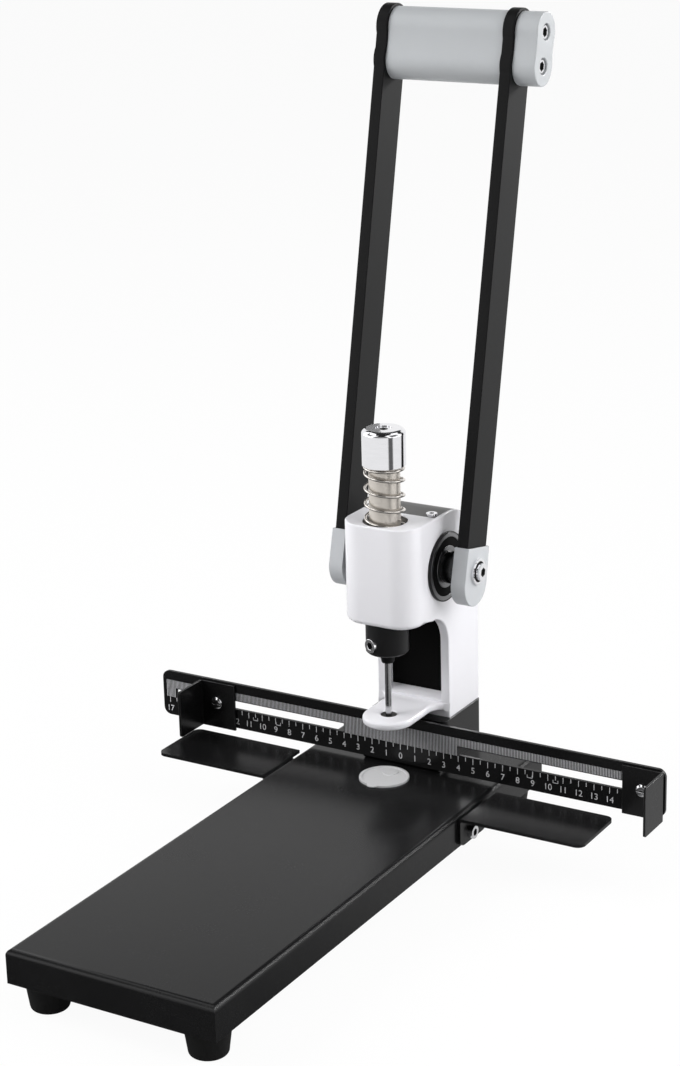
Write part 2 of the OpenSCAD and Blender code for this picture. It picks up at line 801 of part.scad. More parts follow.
// Turning pad under the bit, with a rim and a finger tab in front
module cutting_pad() color(white) place() translate([0, -pad_depth, pad_top]) difference() {
    union() {
        translate([0, 0, -pad_t]) cylinder(r = pad_r, h = pad_t);
        translate([-tab_half_w, -pad_r - tab_reach + tab_half_w, pass_gap - pad_top])
            cube([2 * tab_half_w, pad_r, pad_top - pass_gap]);
        translate([0, -pad_r - tab_reach + tab_half_w, pass_gap - pad_top])
            cylinder(r = tab_half_w, h = pad_top - pass_gap);
    }
    difference() {
        translate([0, 0, -pad_dish]) cylinder(r = pad_r - pad_rim, h = 1);
        translate([0, pad_depth + punch_y, -pad_dish - 1]) cylinder(r = bit_d / 2 + bit_land, h = pad_t);
    }
}

// Cup under the base that carries the pad
module pad_cup() color(steel) place() translate([0, -pad_depth, -base_t]) difference() {
    union() {
        translate([0, 0, -cup_t]) cylinder(r = pad_r + pass_gap + cup_flange, h = cup_t);
        translate([0, 0, base_t + pad_top - pad_t - cup_t])
            cylinder(r = pad_r + pass_gap + cup_t, h = pad_t - pad_top - base_t + cup_t);
    }
    translate([0, 0, base_t + pad_top - pad_t]) cylinder(r = pad_r + pass_gap, h = pad_t);
}

// Shaft end: a round bar with two flats that carries an arm
module flat_end(x0, x1) intersection() {
    rod(end_r, x0, x1);
    translate([x0 - 1, -end_flat / 2, -end_r - 1]) cube([x1 - x0 + 2, end_flat, 2 * end_r + 2]);
}

module lever_shaft() color(steel) on_pivot() difference() {
    union() {
        rod(shaft_d / 2, -bearing_x, bearing_x);
        rod(end_r, -hub_in, hub_in);
        rotate([-lean, 0, 0]) both_sides() flat_end(hub_in - eps, arm_out);
    }
    both_sides() rod(pivot_screw_r + run_gap, hub_out + washer_floor - pivot_screw_l - 1, arm_out + 1);
    key_seat();
}

// Half of the key stands in the shaft, half in the gear
module key_seat() translate([-gear_w / 2, -key_w / 2, shaft_d / 2 - key_h / 2]) cube([gear_w, key_w, key_h]);

module gear_key() color(steel) on_pivot() key_seat();

// Half angle of a gear tooth at a radius, from the involute of the base circle
function involute(a) = tan(a) * 180 / PI - a;
function tooth_half(r) = (tooth_pitch / 2 - backlash / 2) / (2 * gear_r) * 180 / PI
    + involute(pressure) - involute(acos(min(1, gear_base_r / r)));
function polar(r, a) = [r * cos(a), r * sin(a)];
flank_radii = [for (i = [0 : flank_steps]) gear_base_r + (gear_tip_r - gear_base_r) * i / flank_steps];
function tooth_points(a) = concat(
    [polar(gear_root_r, a - tooth_half(gear_base_r))],
    [for (r = flank_radii) polar(r, a - tooth_half(r))],
    [for (i = [flank_steps : -1 : 0]) polar(flank_radii[i], a + tooth_half(flank_radii[i]))],
    [polar(gear_root_r, a + tooth_half(gear_base_r))]
);

// Gear on the lever shaft, one tooth facing the rack
module drive_gear() color(steel) on_pivot() difference() {
    across(gear_w) polygon([for (k = [0 : gear_n - 1]) each tooth_points(180 + 360 * k / gear_n)]);
    rod(shaft_d / 2, -gear_w, gear_w);
    key_seat();
}

// Ball bearings in the head's sides: outer ring, seals and inner ring
module bearing_outer_rings() color(chrome) on_pivot() both_sides()
    ring(bearing_d / 2, bearing_d / 2 - race_t, bearing_x - bearing_w, bearing_x);

module bearing_seals() color(black) on_pivot() both_sides()
    for (x = [bearing_x - bearing_w + seal_in, bearing_x - seal_t - seal_in])
        ring(bearing_d / 2 - race_t, inner_r + run_gap, x, x + seal_t);

module bearing_inner_rings() color(chrome) on_pivot() both_sides()
    ring(inner_r, shaft_d / 2, bearing_x - bearing_w, bearing_x);

// Dark rings round the bearings where they stand out of the head
module bearing_covers() color(black) on_pivot() both_sides()
    ring(bearing_d / 2 + cover_rim, bearing_d / 2, frame_w / 2, bearing_x);

// Sleeves between the bearings and the hubs
module lever_spacers() color(black) on_pivot() both_sides() ring(spacer_r, end_r, bearing_x, hub_in);

// Outline of a hub along the lever: a flat top, tapered sides and a round lower end
module hub_outline() translate([0, hub_w / 2 - hub_low]) {
    circle(d = hub_w);
    polygon([
        [-hub_w / 2, 0], [hub_w / 2, 0], [hub_top_w / 2, hub_high + hub_low - hub_w / 2],
        [-hub_top_w / 2, hub_high + hub_low - hub_w / 2]
    ]);
}

// Hub: a moulded boot over the lower end of an arm
module hub() difference() {
    across_from(hub_in, hub_out) hub_outline();
    arm_bar(arm_in, arm_out);
    flat_end(hub_in - 1, arm_out);
    rod(pivot_screw_r + run_gap, hub_in, hub_out + 1);
}

// Arm without its holes: a flat bar that swells a little round the grip
module arm_bar(x0, x1) across_from(x0, x1) {
    circle(d = arm_w);
    translate([-arm_w / 2, 0]) square([arm_w, upper_lobe]);
    for (z = [lower_lobe, upper_lobe]) translate([0, z]) circle(arm_end_r);
}

module arm() difference() {
    arm_bar(arm_in, arm_out);
    flat_end(arm_in - 1, arm_out + 1);
    at_grip_screws() rod(grip_screw_r + run_gap, arm_in - 1, arm_out + 1);
}

module at_grip_screws() for (z = [lower_lobe, upper_lobe]) translate([0, 0, z]) children();

module right_hub() color(grey) on_lever() hub();
module left_hub() color(grey) on_lever() mirror([1, 0, 0]) hub();
module right_arm() color(black) on_lever() arm();
module left_arm() color(black) on_lever() mirror([1, 0, 0]) arm();

// Cup washers, whose rims stand round the screws' heads
module pivot_washers() color(chrome) on_lever() both_sides() {
    ring(washer_r, pivot_screw_r + run_gap, hub_out, hub_out + washer_floor);
    ring(washer_r, washer_cup_r, hub_out + washer_floor - eps, hub_out + washer_t);
}

module pivot_screws() color(chrome) on_lever() both_sides()
    translate([hub_out + washer_floor, 0, 0]) rotate([0, 90, 0])
        socket_screw(pivot_screw_r, pivot_screw_l, pivot_head_r, pivot_head_h, pivot_socket);

// Section of the grip: two lobes with a slight waist, whose arcs touch the lobes smoothly
module grip_section() {
    waist_r = (pow(lobe_gap / 2, 2) + pow(waist, 2) - pow(lobe_r, 2)) / (2 * (lobe_r - waist));
    touch = (lobe_gap / 2) * waist_r / (lobe_r + waist_r);
    translate([0, grip_at]) {
        for (z = [-1, 1]) translate([0, z * lobe_gap / 2]) circle(lobe_r);
        difference() {
            translate([-lobe_r, -touch]) square([2 * lobe_r, 2 * touch]);
            for (y = [-1, 1]) translate([y * (waist + waist_r), 0]) circle(waist_r);
        }
    }
}

module hand_grip() color(grey) on_lever() difference() {
    across(2 * arm_in) grip_section();
    both_sides() at_grip_screws() rod(grip_screw_r, arm_in + cap_t - grip_screw_l, arm_in + 1);
}

module grip_end_cap() color(grey) on_lever() difference() {
    across_from(arm_out, arm_out + cap_t) grip_section();
    at_grip_screws() rod(grip_screw_r + run_gap, arm_out - 1, arm_out + cap_t + 1);
    at_grip_screws() rod(grip_well_r, arm_out + cap_t - grip_well - grip_head_h, arm_out + cap_t + 1);
}

// Two long screws through the cap and two short ones in the left arm
module grip_screws() color(chrome) on_lever() at_grip_screws() {
    translate([arm_out + cap_t - grip_well - grip_head_h, 0, 0]) rotate([0, 90, 0])
        socket_screw(grip_screw_r, grip_screw_l, grip_head_r, grip_head_h, grip_socket);
    translate([-arm_out, 0, 0]) rotate([0, -90, 0])
        socket_screw(grip_screw_r, arm_t + left_screw_l - cap_t, grip_head_r, left_head_h, grip_socket);
}

// Fence: a slotted strip, with a tab in the middle that is bent back under the pedestal
module fence() color(black) place() difference() {
    union() {
        along(0, fence_t) round_rect(-fence_l / 2, fence_low, fence_l / 2, fence_top, fence_r);
        across(tab_w) {
            translate([0, fence_t + tab_r]) square([fence_t, fence_low]);
            translate([fence_t + tab_r, fence_t + tab_r]) rotate(90) bend(fence_t + tab_r, fence_t);
            translate([fence_t + tab_r - eps, 0]) square([pedestal_back - fence_t - tab_r, fence_t]);
        }
    }
    for (x = [slot_in, -slot_out])
        along(-1, fence_t + 1) translate([x, slot_z - slot_h / 2]) square([slot_out - slot_in, slot_h]);
    at_bolts() translate([0, 0, -1]) cylinder(r = bolt_r + run_gap, h = fence_t + 2);
}

// Side stop about its screw: a plate on the fence and a flange that points forward at its outer end
module stop() difference() {
    intersection() {
        translate([0, 0, stop_low]) linear_extrude(stop_top - stop_low) {
            translate([stop_screw_in - stop_w, -slide_gap - stop_t]) square([stop_w - stop_bend, stop_t]);
            translate([stop_screw_in - stop_bend, -slide_gap - stop_bend])
                mirror([1, 0]) bend(stop_bend, stop_t);
            translate([stop_screw_in - stop_t, -stop_reach])
                square([stop_t, stop_reach - slide_gap - stop_bend + eps]);
        }
        across_from(stop_screw_in - stop_w - 1, stop_screw_in + 1)
            round_rect(-stop_reach, stop_low, stop_reach, stop_top, stop_r);
    }
    translate([0, 0, slot_z]) rotate([90, 0, 0])
        cylinder(r = stop_screw_r + run_gap, h = stop_reach, center = true);
}

module stop_screw() translate([0, -slide_gap - stop_t, slot_z]) rotate([90, 0, 0])
    slotted_screw(stop_screw_r, stop_t + fence_t + 2 * slide_gap + nut_h + screw_past_nut,
        stop_head_r, stop_head_h);

module stop_nut() translate([0, fence_t + slide_gap, slot_z]) rotate([-90, 0, 0]) difference() {
    cylinder(r = nut_r, h = nut_h, $fn = 6);
    translate([0, 0, -1]) cylinder(r = stop_screw_r, h = nut_h + 2);
}

module at_right_stop() place() translate([right_stop_x, 0, 0]) children();
module at_left_stop() place() translate([left_stop_x, 0, 0]) mirror([1, 0, 0]) children();
module right_stop() color(black) at_right_stop() stop();
module left_stop() color(black) at_left_stop() stop();
module right_stop_screw() color(chrome) at_right_stop() stop_screw();
module left_stop_screw() color(chrome) at_left_stop() stop_screw();
module right_stop_nut() color(steel) at_right_stop() stop_nut();
module left_stop_nut() color(steel) at_left_stop() stop_nut();

// Place of the wings' screws along the base
function wing_screw_y() = wing_screw_in - wing_gap - wing_d;

// Wing: a side table with round outer corners, bent down along the base's side
module wing() difference() {
    union() {
        translate([base_w / 2, 0, 0]) intersection() {
            translate([0, 0, wing_z - wing_t]) linear_extrude(wing_t)
                round_rect(-wing_w, -wing_gap - wing_d, wing_w, -wing_gap, wing_r);
            translate([wing_bend, -base_front, -base_h]) cube([wing_w, base_front, base_h]);
        }
        intersection() {
            along(-wing_gap - wing_d, wing_flange_l - wing_gap - wing_d) translate([base_w / 2, wing_z]) {
                translate([wing_bend, -wing_bend]) bend(wing_bend, wing_t);
                translate([wing_bend - eps, -wing_t]) square([2 * wing_r, wing_t]);
                translate([0, -base_h]) square([wing_t, base_h - wing_bend + eps]);
            }
            across_from(base_w / 2 - 1, base_w / 2 + wing_w) translate([-wing_gap - wing_d, wing_up - base_h])
                round_rect(0, 0, wing_flange_l, base_h + wing_r, wing_r);
        }
    }
    translate([0, wing_screw_y(), wing_screw_z]) rod(wing_screw_r + run_gap, 0, base_w);
}

module right_wing() color(black) place() wing();
module left_wing() color(black) place() mirror([1, 0, 0]) wing();

module wing_screws() color(chrome) place() both_sides()
    translate([base_w / 2 + wing_t, wing_screw_y(), wing_screw_z]) rotate([0, 90, 0])
        socket_screw(wing_screw_r, wing_t + wing_screw_l, wing_head_r, wing_head_h, wing_socket);

base_plate();
rubber_feet();
foot_screws();
pedestal();
frame_bolts();
column_frame();
throat_panel();
head_cover();
cover_screws();
spindle();
spindle_bush();
spindle_knob();
knob_screw();
return_spring();
chuck();
chuck_set_screw();
punch_bit();
cutting_pad();
pad_cup();
lever_shaft();
drive_gear();
gear_key();
bearing_outer_rings();
bearing_seals();
bearing_inner_rings();
bearing_covers();
lever_spacers();
left_hub();
right_hub();
pivot_washers();
pivot_screws();
left_arm();
right_arm();
hand_grip();
grip_end_cap();
grip_screws();
fence();
left_stop();
right_stop();
left_stop_screw();
right_stop_screw();
left_stop_nut();
right_stop_nut();
left_wing();
right_wing();
wing_screws();
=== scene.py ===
"""Looks of a desk hole punch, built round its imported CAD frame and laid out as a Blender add-on."""

import json
import math

import bmesh
import bpy
from bpy.props import FloatProperty, FloatVectorProperty, IntProperty, PointerProperty
from mathutils import Matrix, Vector
from mathutils.bvhtree import BVHTree


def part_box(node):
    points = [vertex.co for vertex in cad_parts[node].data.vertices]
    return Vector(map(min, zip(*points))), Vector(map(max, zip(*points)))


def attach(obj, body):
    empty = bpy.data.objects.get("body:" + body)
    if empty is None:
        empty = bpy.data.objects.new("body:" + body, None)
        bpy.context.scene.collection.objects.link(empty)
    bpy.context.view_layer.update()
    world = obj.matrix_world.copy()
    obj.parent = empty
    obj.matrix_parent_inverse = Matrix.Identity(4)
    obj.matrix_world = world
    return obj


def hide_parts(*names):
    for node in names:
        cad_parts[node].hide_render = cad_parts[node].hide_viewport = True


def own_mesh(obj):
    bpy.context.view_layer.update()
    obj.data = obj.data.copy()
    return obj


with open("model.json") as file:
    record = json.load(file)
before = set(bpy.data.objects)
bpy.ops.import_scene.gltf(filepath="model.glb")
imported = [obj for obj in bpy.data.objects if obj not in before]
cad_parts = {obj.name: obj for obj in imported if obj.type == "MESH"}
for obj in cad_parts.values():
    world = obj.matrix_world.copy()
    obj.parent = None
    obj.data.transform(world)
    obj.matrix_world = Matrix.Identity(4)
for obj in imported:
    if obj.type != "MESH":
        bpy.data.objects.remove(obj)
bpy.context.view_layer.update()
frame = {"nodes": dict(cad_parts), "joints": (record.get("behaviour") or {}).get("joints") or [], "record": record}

bl_info = {
    "name": "Desk hole punch",
    "version": (1, 0, 0),
    "blender": (4, 5, 0),
    "location": "View3D > Sidebar > Hole punch",
    "description": "Dresses the CAD frame of a desk hole punch with its finishes and fine detail",
    "category": "Add Mesh",
}

MM = 0.001
# Bench frame: X along the fence, Y = 0 on the fence's front face, Z = 0 on the base's top, in millimetres
BENCH = Vector((0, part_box("fence")[0].y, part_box("base_plate")[1].z))
# Longer side of the photo, in pixels
PHOTO_HEIGHT = 1066
WHITE = (1, 1, 1, 1)
# Folds sharper than this are edges to round. Pieces with curved faces take the second value
EDGE_ANGLE, CURVED_EDGE_ANGLE = math.radians(28), math.radians(40)
# Folds that are sharper than this after the rounding stay creased
CREASE_ANGLE = math.radians(50)
# Points closer than this, in metres, are one, and faces that turn by less than this are one flat face
SAME_POINT, FLAT_ANGLE = 1e-6, math.radians(0.3)
# Rays that find the faces in a socket, which take painted shade: their number, spread, start and reach, and the
# hits that it takes
RAY_COUNT, RAY_SPREAD, RAY_START, RAY_REACH, RAY_HITS = 8, math.radians(60), 0.02 * MM, 6 * MM, 6


def at(x, y, z):
    """A point of the bench frame, in millimetres, as a point of the row frame."""
    return Vector((x, y, z)) * MM + BENCH


def bench(point):
    """A point of the row frame as a point of the bench frame, in millimetres."""
    return (point - BENCH) / MM


def bench_box(node):
    """A node's lowest and highest corners in the bench frame."""
    return [bench(corner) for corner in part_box(node)]


def length_property(name, description, default):
    """A length that a user may change. Its default is given in millimetres and kept in metres."""
    return FloatProperty(name=name, description=description, default=default * MM, precision=5,
                         unit="LENGTH")


def angle_property(name, description, default):
    """An angle that a user may change. Its default is given in degrees and kept in radians."""
    return FloatProperty(name=name, description=description, default=math.radians(default), subtype="ANGLE")


def power_property(name, description, default):
    """A lamp's power in watts."""
    return FloatProperty(name=name, description=description, default=default, min=0, unit="POWER")


def colour_property(name, default):
    """The base colour of a finish."""
    return FloatVectorProperty(name=name, description=f"Base colour of the {name.lower()}", default=default,
                               subtype="COLOR", size=3, min=0, max=1)


class PunchSizes(bpy.types.PropertyGroup):
    """Sizes that the looks add to the CAD frame"""

    sheet_edge: length_property("Sheet edge", "Radius of the sheet-metal edges", 0.35)
    moulded_edge: length_property("Moulded edge", "Radius of the plastic edges", 1.1)
    casting_top: length_property("Casting top", "Radius of the casting's top and back edges", 1.0)
    casting_low: length_property("Head underside", "Radius under the head", 3.6)
    throat_edge: length_property("Throat edge", "Radius along the throat and column", 0.9)
    hole_edge: length_property("Hole edge", "Radius of the casting's hole mouths", 0.45)
    foot_edge: length_property("Foot plate edge", "Radius of the foot plate", 1.8)
    knob_top: length_property("Knob top", "Rounding of the knob's chamfer", 1.3)
    coil_r: length_property("Coil radius", "Middle radius of the spring", 11.5)
    wire_r: length_property("Wire radius", "Radius of the spring's wire", 0.8)
    coil_pitch: length_property("Coil pitch", "Rise of one open coil", 9.24)
    coil_turn: angle_property("Coil turn", "Angle of the wire at the height below", 210.7)
    coil_turn_z: length_property("Coil turn height", "Height over the base that has the angle above", 163.3)
    scale_end: IntProperty(name="Scale end", description="Last millimetre of the scale on each side",
                           default=172, min=0)
    number_h: length_property("Number size", "Type size of the scale's numbers", 5.6)
    ink: length_property("Ink", "Thickness of the printed scale", 0.03)


class PunchColours(bpy.types.PropertyGroup):
    """Colours of the finishes"""

    black_coat: colour_property("Black coat", (0.006, 0.006, 0.0063))
    # Lighter than the coat along the edges: rubbed wear and also a painted highlight
    worn_edge: colour_property("Rubbed coat edge and painted sheen", (0.035, 0.035, 0.037))
    white_coat: colour_property("White coat", (0.815, 0.81, 0.845))
    cover: colour_property("Cover sheet", (0.115, 0.114, 0.112))
    chrome: colour_property("Chrome", (0.83, 0.83, 0.85))
    nickel: colour_property("Nickel", (0.80, 0.76, 0.715))
    spindle: colour_property("Ground spindle", (0.62, 0.58, 0.53))
    bit: colour_property("Bit steel", (0.50, 0.50, 0.51))
    race: colour_property("Bearing race", (0.20, 0.20, 0.205))
    # Painted shade for the hollows of the screws and washers
    socket: colour_property("Painted socket shade", (0.02, 0.02, 0.02))
    steel: colour_property("Steel", (0.52, 0.51, 0.5))
    bronze: colour_property("Bronze", (0.55, 0.38, 0.18))
    grip_plastic: colour_property("Grip plastic", (0.41, 0.425, 0.44))
    hub_plastic: colour_property("Hub plastic", (0.50, 0.515, 0.535))
    white_plastic: colour_property("White plastic", (0.57, 0.57, 0.58))
    rubber: colour_property("Rubber", (0.006, 0.006, 0.006))
    black_parts: colour_property("Blackened parts", (0.004, 0.004, 0.0045))
    panel: colour_property("Throat panel", (0.002, 0.002, 0.002))
    ink: colour_property("Scale ink", (0.62, 0.62, 0.64))


class PunchStage(bpy.types.PropertyGroup):
    """Camera, lamps and room"""

    azimuth: angle_property("Azimuth", "Camera's turn round the punch", 31.182)
    elevation: angle_property("Elevation", "Camera's height over the horizon", 18.070)
    roll: angle_property("Roll", "Camera's roll", -1.455)
    distance: length_property("Distance", "Camera's distance", 1512.821)
    across: length_property("Across", "Camera's step to its right", -37.158)
    up: length_property("Up", "Camera's step upward", 142.398)
    focal: FloatProperty(name="Focal length", description="Focal length in pixels of the photo",
                         default=2470.526, min=1, subtype="PIXEL")
    key: power_property("Key lamp", "Power of the lamp on the right", 26)
    fill: power_property("Fill lamp", "Power of the lamp at the front left", 35)
    top: power_property("Top lamp", "Power of the lamp overhead", 2)
    rim: power_property("Rim lamp", "Power of the small lamp behind on the right", 10)
    rim_shine: power_property("Rim shine", "Power of the rim lamp in reflections", 45)
    ambient: FloatProperty(name="Ambient", description="Strength of the room's light", default=0.21,
                           min=0, max=1, subtype="FACTOR")


def size(name):
    """A length that a user may change, in millimetres."""
    return getattr(bpy.context.scene.punch_sizes, name) / MM


def colour(name):
    """A finish's colour with its alpha."""
    return (*getattr(bpy.context.scene.punch_colours, name), 1)


def shade(tint, share):
    """A tint made darker or lighter."""
    return (*(min(1.0, channel * share) for channel in tint[:3]), 1)


class Wire:
    """One output of a shader node. Arithmetic on it adds Math nodes."""

    def __init__(self, graph, socket):
        self.graph = graph
        self.socket = socket

    def maths(self, operation, *values):
        return self.graph.node("ShaderNodeMath", {"operation": operation}, dict(enumerate(values)))

    def __add__(self, other):
        return self.maths("ADD", self, other)

    __radd__ = __add__

    def __sub__(self, other):
        return self.maths("SUBTRACT", self, other)

    def __rsub__(self, other):
        return self.maths("SUBTRACT", other, self)

    def __mul__(self, other):
        return self.maths("MULTIPLY", self, other)

    __rmul__ = __mul__

    def __truediv__(self, other):
        return self.maths("DIVIDE", self, other)

    def __rtruediv__(self, other):
        return self.maths("DIVIDE", other, self)

    def at_most(self, other):
        return self.maths("MINIMUM", self, other)

    def swing(self, amount):
        """Noise moved to swing round zero, by so much in all."""
        return (self - 0.5) * amount


class Graph:
    """The node tree of a material or a world."""

    def __init__(self, owner):
        owner.use_nodes = True
        self.tree = owner.node_tree
        self.tree.nodes.clear()

    def node(self, kind, settings=None, inputs=None, out=0):
        """Adds a node: its settings first, then the values or links of its sockets."""
        made = self.tree.nodes.new(kind)
        for name, value in (settings or {}).items():
            setattr(made, name, value)
        for name, value in (inputs or {}).items():
            if isinstance(value, Wire):
                self.tree.links.new(value.socket, made.inputs[name])
            else:
                made.inputs[name].default_value = value
        return Wire(self, made.outputs[out] if len(made.outputs) else None)

    def vectors(self, operation, *values, out="Vector"):
        """Arithmetic on vectors."""
        return self.node("ShaderNodeVectorMath", {"operation": operation}, dict(enumerate(values)), out)

    def place(self):
        """Where a point of the piece is, in metres of the row frame."""
        return self.node("ShaderNodeTexCoord", out="Object")

    def upward(self, vector):
        """The Z of a vector."""
        return self.node("ShaderNodeSeparateXYZ", None, {0: vector}, out="Z")

    def ray(self, kind):
        """1 for rays of a kind, such as Camera or Glossy, and 0 for others."""
        return self.node("ShaderNodeLightPath", out=f"Is {kind} Ray")

    def noise(self, scale, detail, stretch=None):
        """Noise of so many grains a metre, drawn out along an axis by stretch."""
        where = self.place()
        if stretch:
            where = self.vectors("MULTIPLY", where, stretch)
        inputs = {"Vector": where, "Scale": scale, "Detail": detail}
        return self.node("ShaderNodeTexNoise", None, inputs, out="Fac")

    def mixed(self, share, first, second):
        """A colour between two colours."""
        return self.node("ShaderNodeMix", {"data_type": "RGBA"}, {0: share, 6: first, 7: second}, out=2)

    def varied(self, share, tint, dark, light):
        """A colour between a darker and a lighter shade of a tint."""
        return self.mixed(share, shade(tint, dark), shade(tint, light))

    def bump(self, height, strength, depth):
        return self.node("ShaderNodeBump", None, {"Height": height, "Strength": strength, "Distance": depth})

    def eased(self, value, low, high, first=0.0, last=1.0):
        """Goes smoothly from first to last while the value goes from low to high."""
        inputs = {"Value": value, "From Min": low, "From Max": high, "To Min": first, "To Max": last}
        return self.node("ShaderNodeMapRange", {"interpolation_type": "SMOOTHSTEP"}, inputs)

    def glow(self, tint):
        return self.node("ShaderNodeEmission", None, {"Color": tint, "Strength": 1.0})

    def surface(self, shader):
        self.node("ShaderNodeOutputMaterial", None, {"Surface": shader})

    def coat(self, **inputs):
        """The piece's one principled surface."""
        names = {key.replace("_", " "): value for key, value in inputs.items()}
        self.surface(self.node("ShaderNodeBsdfPrincipled", None, names))


def finish(name):
    """The material of that name, made at its first use."""
    made = bpy.data.materials.get("punch_" + name)
    if made is None:
        made = bpy.data.materials.new("punch_" + name)
        FINISHES[name](Graph(made))
    return made


def satin_powder(graph, tint, gloss, peel, shine):
    """Powder coat: fine orange peel and a slightly uneven gloss."""
    grain = graph.noise(scale=1500, detail=3)
    cloud = graph.noise(scale=28, detail=3)
    base = graph.varied(graph.eased(cloud, low=0.35, high=0.7), tint, dark=0.92, light=1.12)
    graph.coat(Base_Color=base, Specular_IOR_Level=shine, Normal=graph.bump(grain, peel, depth=0.0002),
               Roughness=gloss + cloud.swing(0.06) + grain.swing(0.1))


def black_coat(graph):
    satin_powder(graph, colour("black_coat"), gloss=0.25, peel=0.07, shine=0.235)


def arm_coat(graph):
    """The coat of the lever's bars, dulled by hands."""
    satin_powder(graph, shade(colour("black_coat"), 0.8), gloss=0.45, peel=0.10, shine=0.12)


def worn_edge(graph):
    """Coat rubbed thin along the folds and cut edges, its lighter colour also a painted highlight on them."""
    wear_and_sheen_patches = graph.noise(scale=160, detail=4)
    base = graph.mixed(graph.eased(wear_and_sheen_patches, low=0.4, high=0.75), colour("black_coat"), colour("worn_edge"))
    graph.coat(Base_Color=base, Roughness=0.3 + wear_and_sheen_patches.swing(0.12))


def white_coat(graph):
    """Stoved white enamel on a casting: faint orange peel under a clear gloss."""
    peel = graph.noise(scale=420, detail=2)
    cloud = graph.noise(scale=35, detail=3)
    base = graph.varied(cloud, colour("white_coat"), dark=0.985, light=1.015)
    graph.coat(Base_Color=base, Roughness=0.30 + cloud.swing(0.08), Coat_Weight=0.35, Coat_Roughness=0.08,
               Normal=graph.bump(peel, strength=0.05, depth=0.0003))


def cover_sheet(graph):
    """Dark sheet metal with the fine lines of its brushing."""
    lines = graph.noise(scale=900, detail=3, stretch=(0.04, 1, 1))
    cloud = graph.noise(scale=60, detail=3)
    base = graph.varied(lines, colour("cover"), dark=0.85, light=1.15)
    graph.coat(Base_Color=base, Metallic=0.45, Roughness=0.46 + lines.swing(0.2) + cloud.swing(0.08),
               Normal=graph.bump(lines, strength=0.06, depth=0.0001))


def bright_metal(graph, tint, gloss, scale, stretch, ridge, metal=1.0):
    """Turned and plated metal: rings from the lathe, light handling marks."""
    rings = graph.noise(scale, detail=2, stretch=stretch)
    marks = graph.noise(scale=240, detail=4)
    base = graph.varied(rings, tint, dark=0.95, light=1.04)
    graph.coat(Base_Color=base, Metallic=metal, Roughness=gloss + rings.swing(0.07) + marks.swing(0.06),
               Normal=graph.bump(rings, ridge, depth=0.00005))


def chrome(graph):
    bright_metal(graph, colour("chrome"), gloss=0.10, scale=700, stretch=(0.2, 0.2, 1), ridge=0.03)


def bit_steel(graph):
    """Hardened steel, ground along the bit."""
    bright_metal(graph, colour("bit"), gloss=0.15, scale=900, stretch=(0.2, 0.2, 1), ridge=0.03)


def spindle_steel(graph):
    """Ground bar with a warm film of oil."""
    bright_metal(graph, colour("spindle"), gloss=0.32, scale=2200, stretch=(0.1, 0.1, 1), ridge=0.10,
                 metal=0.78)


def spring_wire(graph):
    """Drawn wire, bright on top, with painted shade below: its colour darkens where it faces down, and it is
    duller there.
    """
    facing_up = graph.upward(graph.node("ShaderNodeNewGeometry", out="Normal"))
    painted_lit_share = graph.eased(facing_up, low=-0.5, high=0.35)
    draw = graph.noise(scale=1600, detail=2)
    bright = graph.varied(draw, colour("nickel"), dark=0.94, light=1.03)
    # Painted shade: the base colour goes dark on the underside of the wire
    base = graph.mixed(painted_lit_share, shade(colour("nickel"), 0.16), bright)
    graph.coat(Base_Color=base, Metallic=1.0, Roughness=0.42 - painted_lit_share * 0.18 + draw.swing(0.08))


def race_steel(graph):
    bright_metal(graph, colour("race"), gloss=0.30, scale=900, stretch=(1, 1, 0.3), ridge=0.06)


def socket_dark(graph):
    """Painted shade, a little uneven, in the sockets of the screws and the cups of the washers."""
    shade_mottle = graph.noise(scale=1400, detail=3)
    base = graph.varied(shade_mottle, colour("socket"), dark=0.6, light=1.6)
    graph.coat(Base_Color=base, Specular_IOR_Level=0.15, Roughness=0.6 + shade_mottle.swing(0.2))


def steel(graph):
    bright_metal(graph, colour("steel"), gloss=0.34, scale=900, stretch=(1, 1, 0.3), ridge=0.08)


def bronze(graph):
    bright_metal(graph, colour("bronze"), gloss=0.36, scale=900, stretch=(0.2, 0.2, 1), ridge=0.08)


def moulded_plastic(graph, tint):
    """Moulded plastic with a spark-eroded grain."""
    grain = graph.noise(scale=2400, detail=2)
    cloud = graph.noise(scale=45, detail=3)
    base = graph.varied(cloud, tint, dark=0.97, light=1.03)
    graph.coat(Base_Color=base, Roughness=0.42 + cloud.swing(0.1),
               Normal=graph.bump(grain, strength=0.10, depth=0.0001))


def grip_plastic(graph):
    moulded_plastic(graph, colour("grip_plastic"))


def hub_plastic(graph):
    moulded_plastic(graph, colour("hub_plastic"))


def white_plastic(graph):
    """Soft white plastic, dulled a little by cutting."""
    grain = graph.noise(scale=700, detail=3)
    base = graph.varied(grain, colour("white_plastic"), dark=0.95, light=1.03)
    graph.coat(Base_Color=base, Roughness=0.48 + grain.swing(0.1),
               Normal=graph.bump(grain, strength=0.12, depth=0.0002))


def rubber(graph):
    grain = graph.noise(scale=1300, detail=3)
    base = graph.varied(grain, colour("rubber"), dark=0.8, light=1.6)
    graph.coat(Base_Color=base, Specular_IOR_Level=0.2, Roughness=0.66 + grain.swing(0.16),
               Normal=graph.bump(grain, strength=0.2, depth=0.0002))


def black_parts(graph):
    """Blackened steel: oiled, slightly streaked."""
    streak = graph.noise(scale=500, detail=3, stretch=(1, 1, 0.35))
    base = graph.varied(streak, colour("black_parts"), dark=0.8, light=1.6)
    graph.coat(Base_Color=base, Specular_IOR_Level=0.25, Roughness=0.38 + streak.swing(0.14),
               Normal=graph.bump(streak, strength=0.08, depth=0.0001))


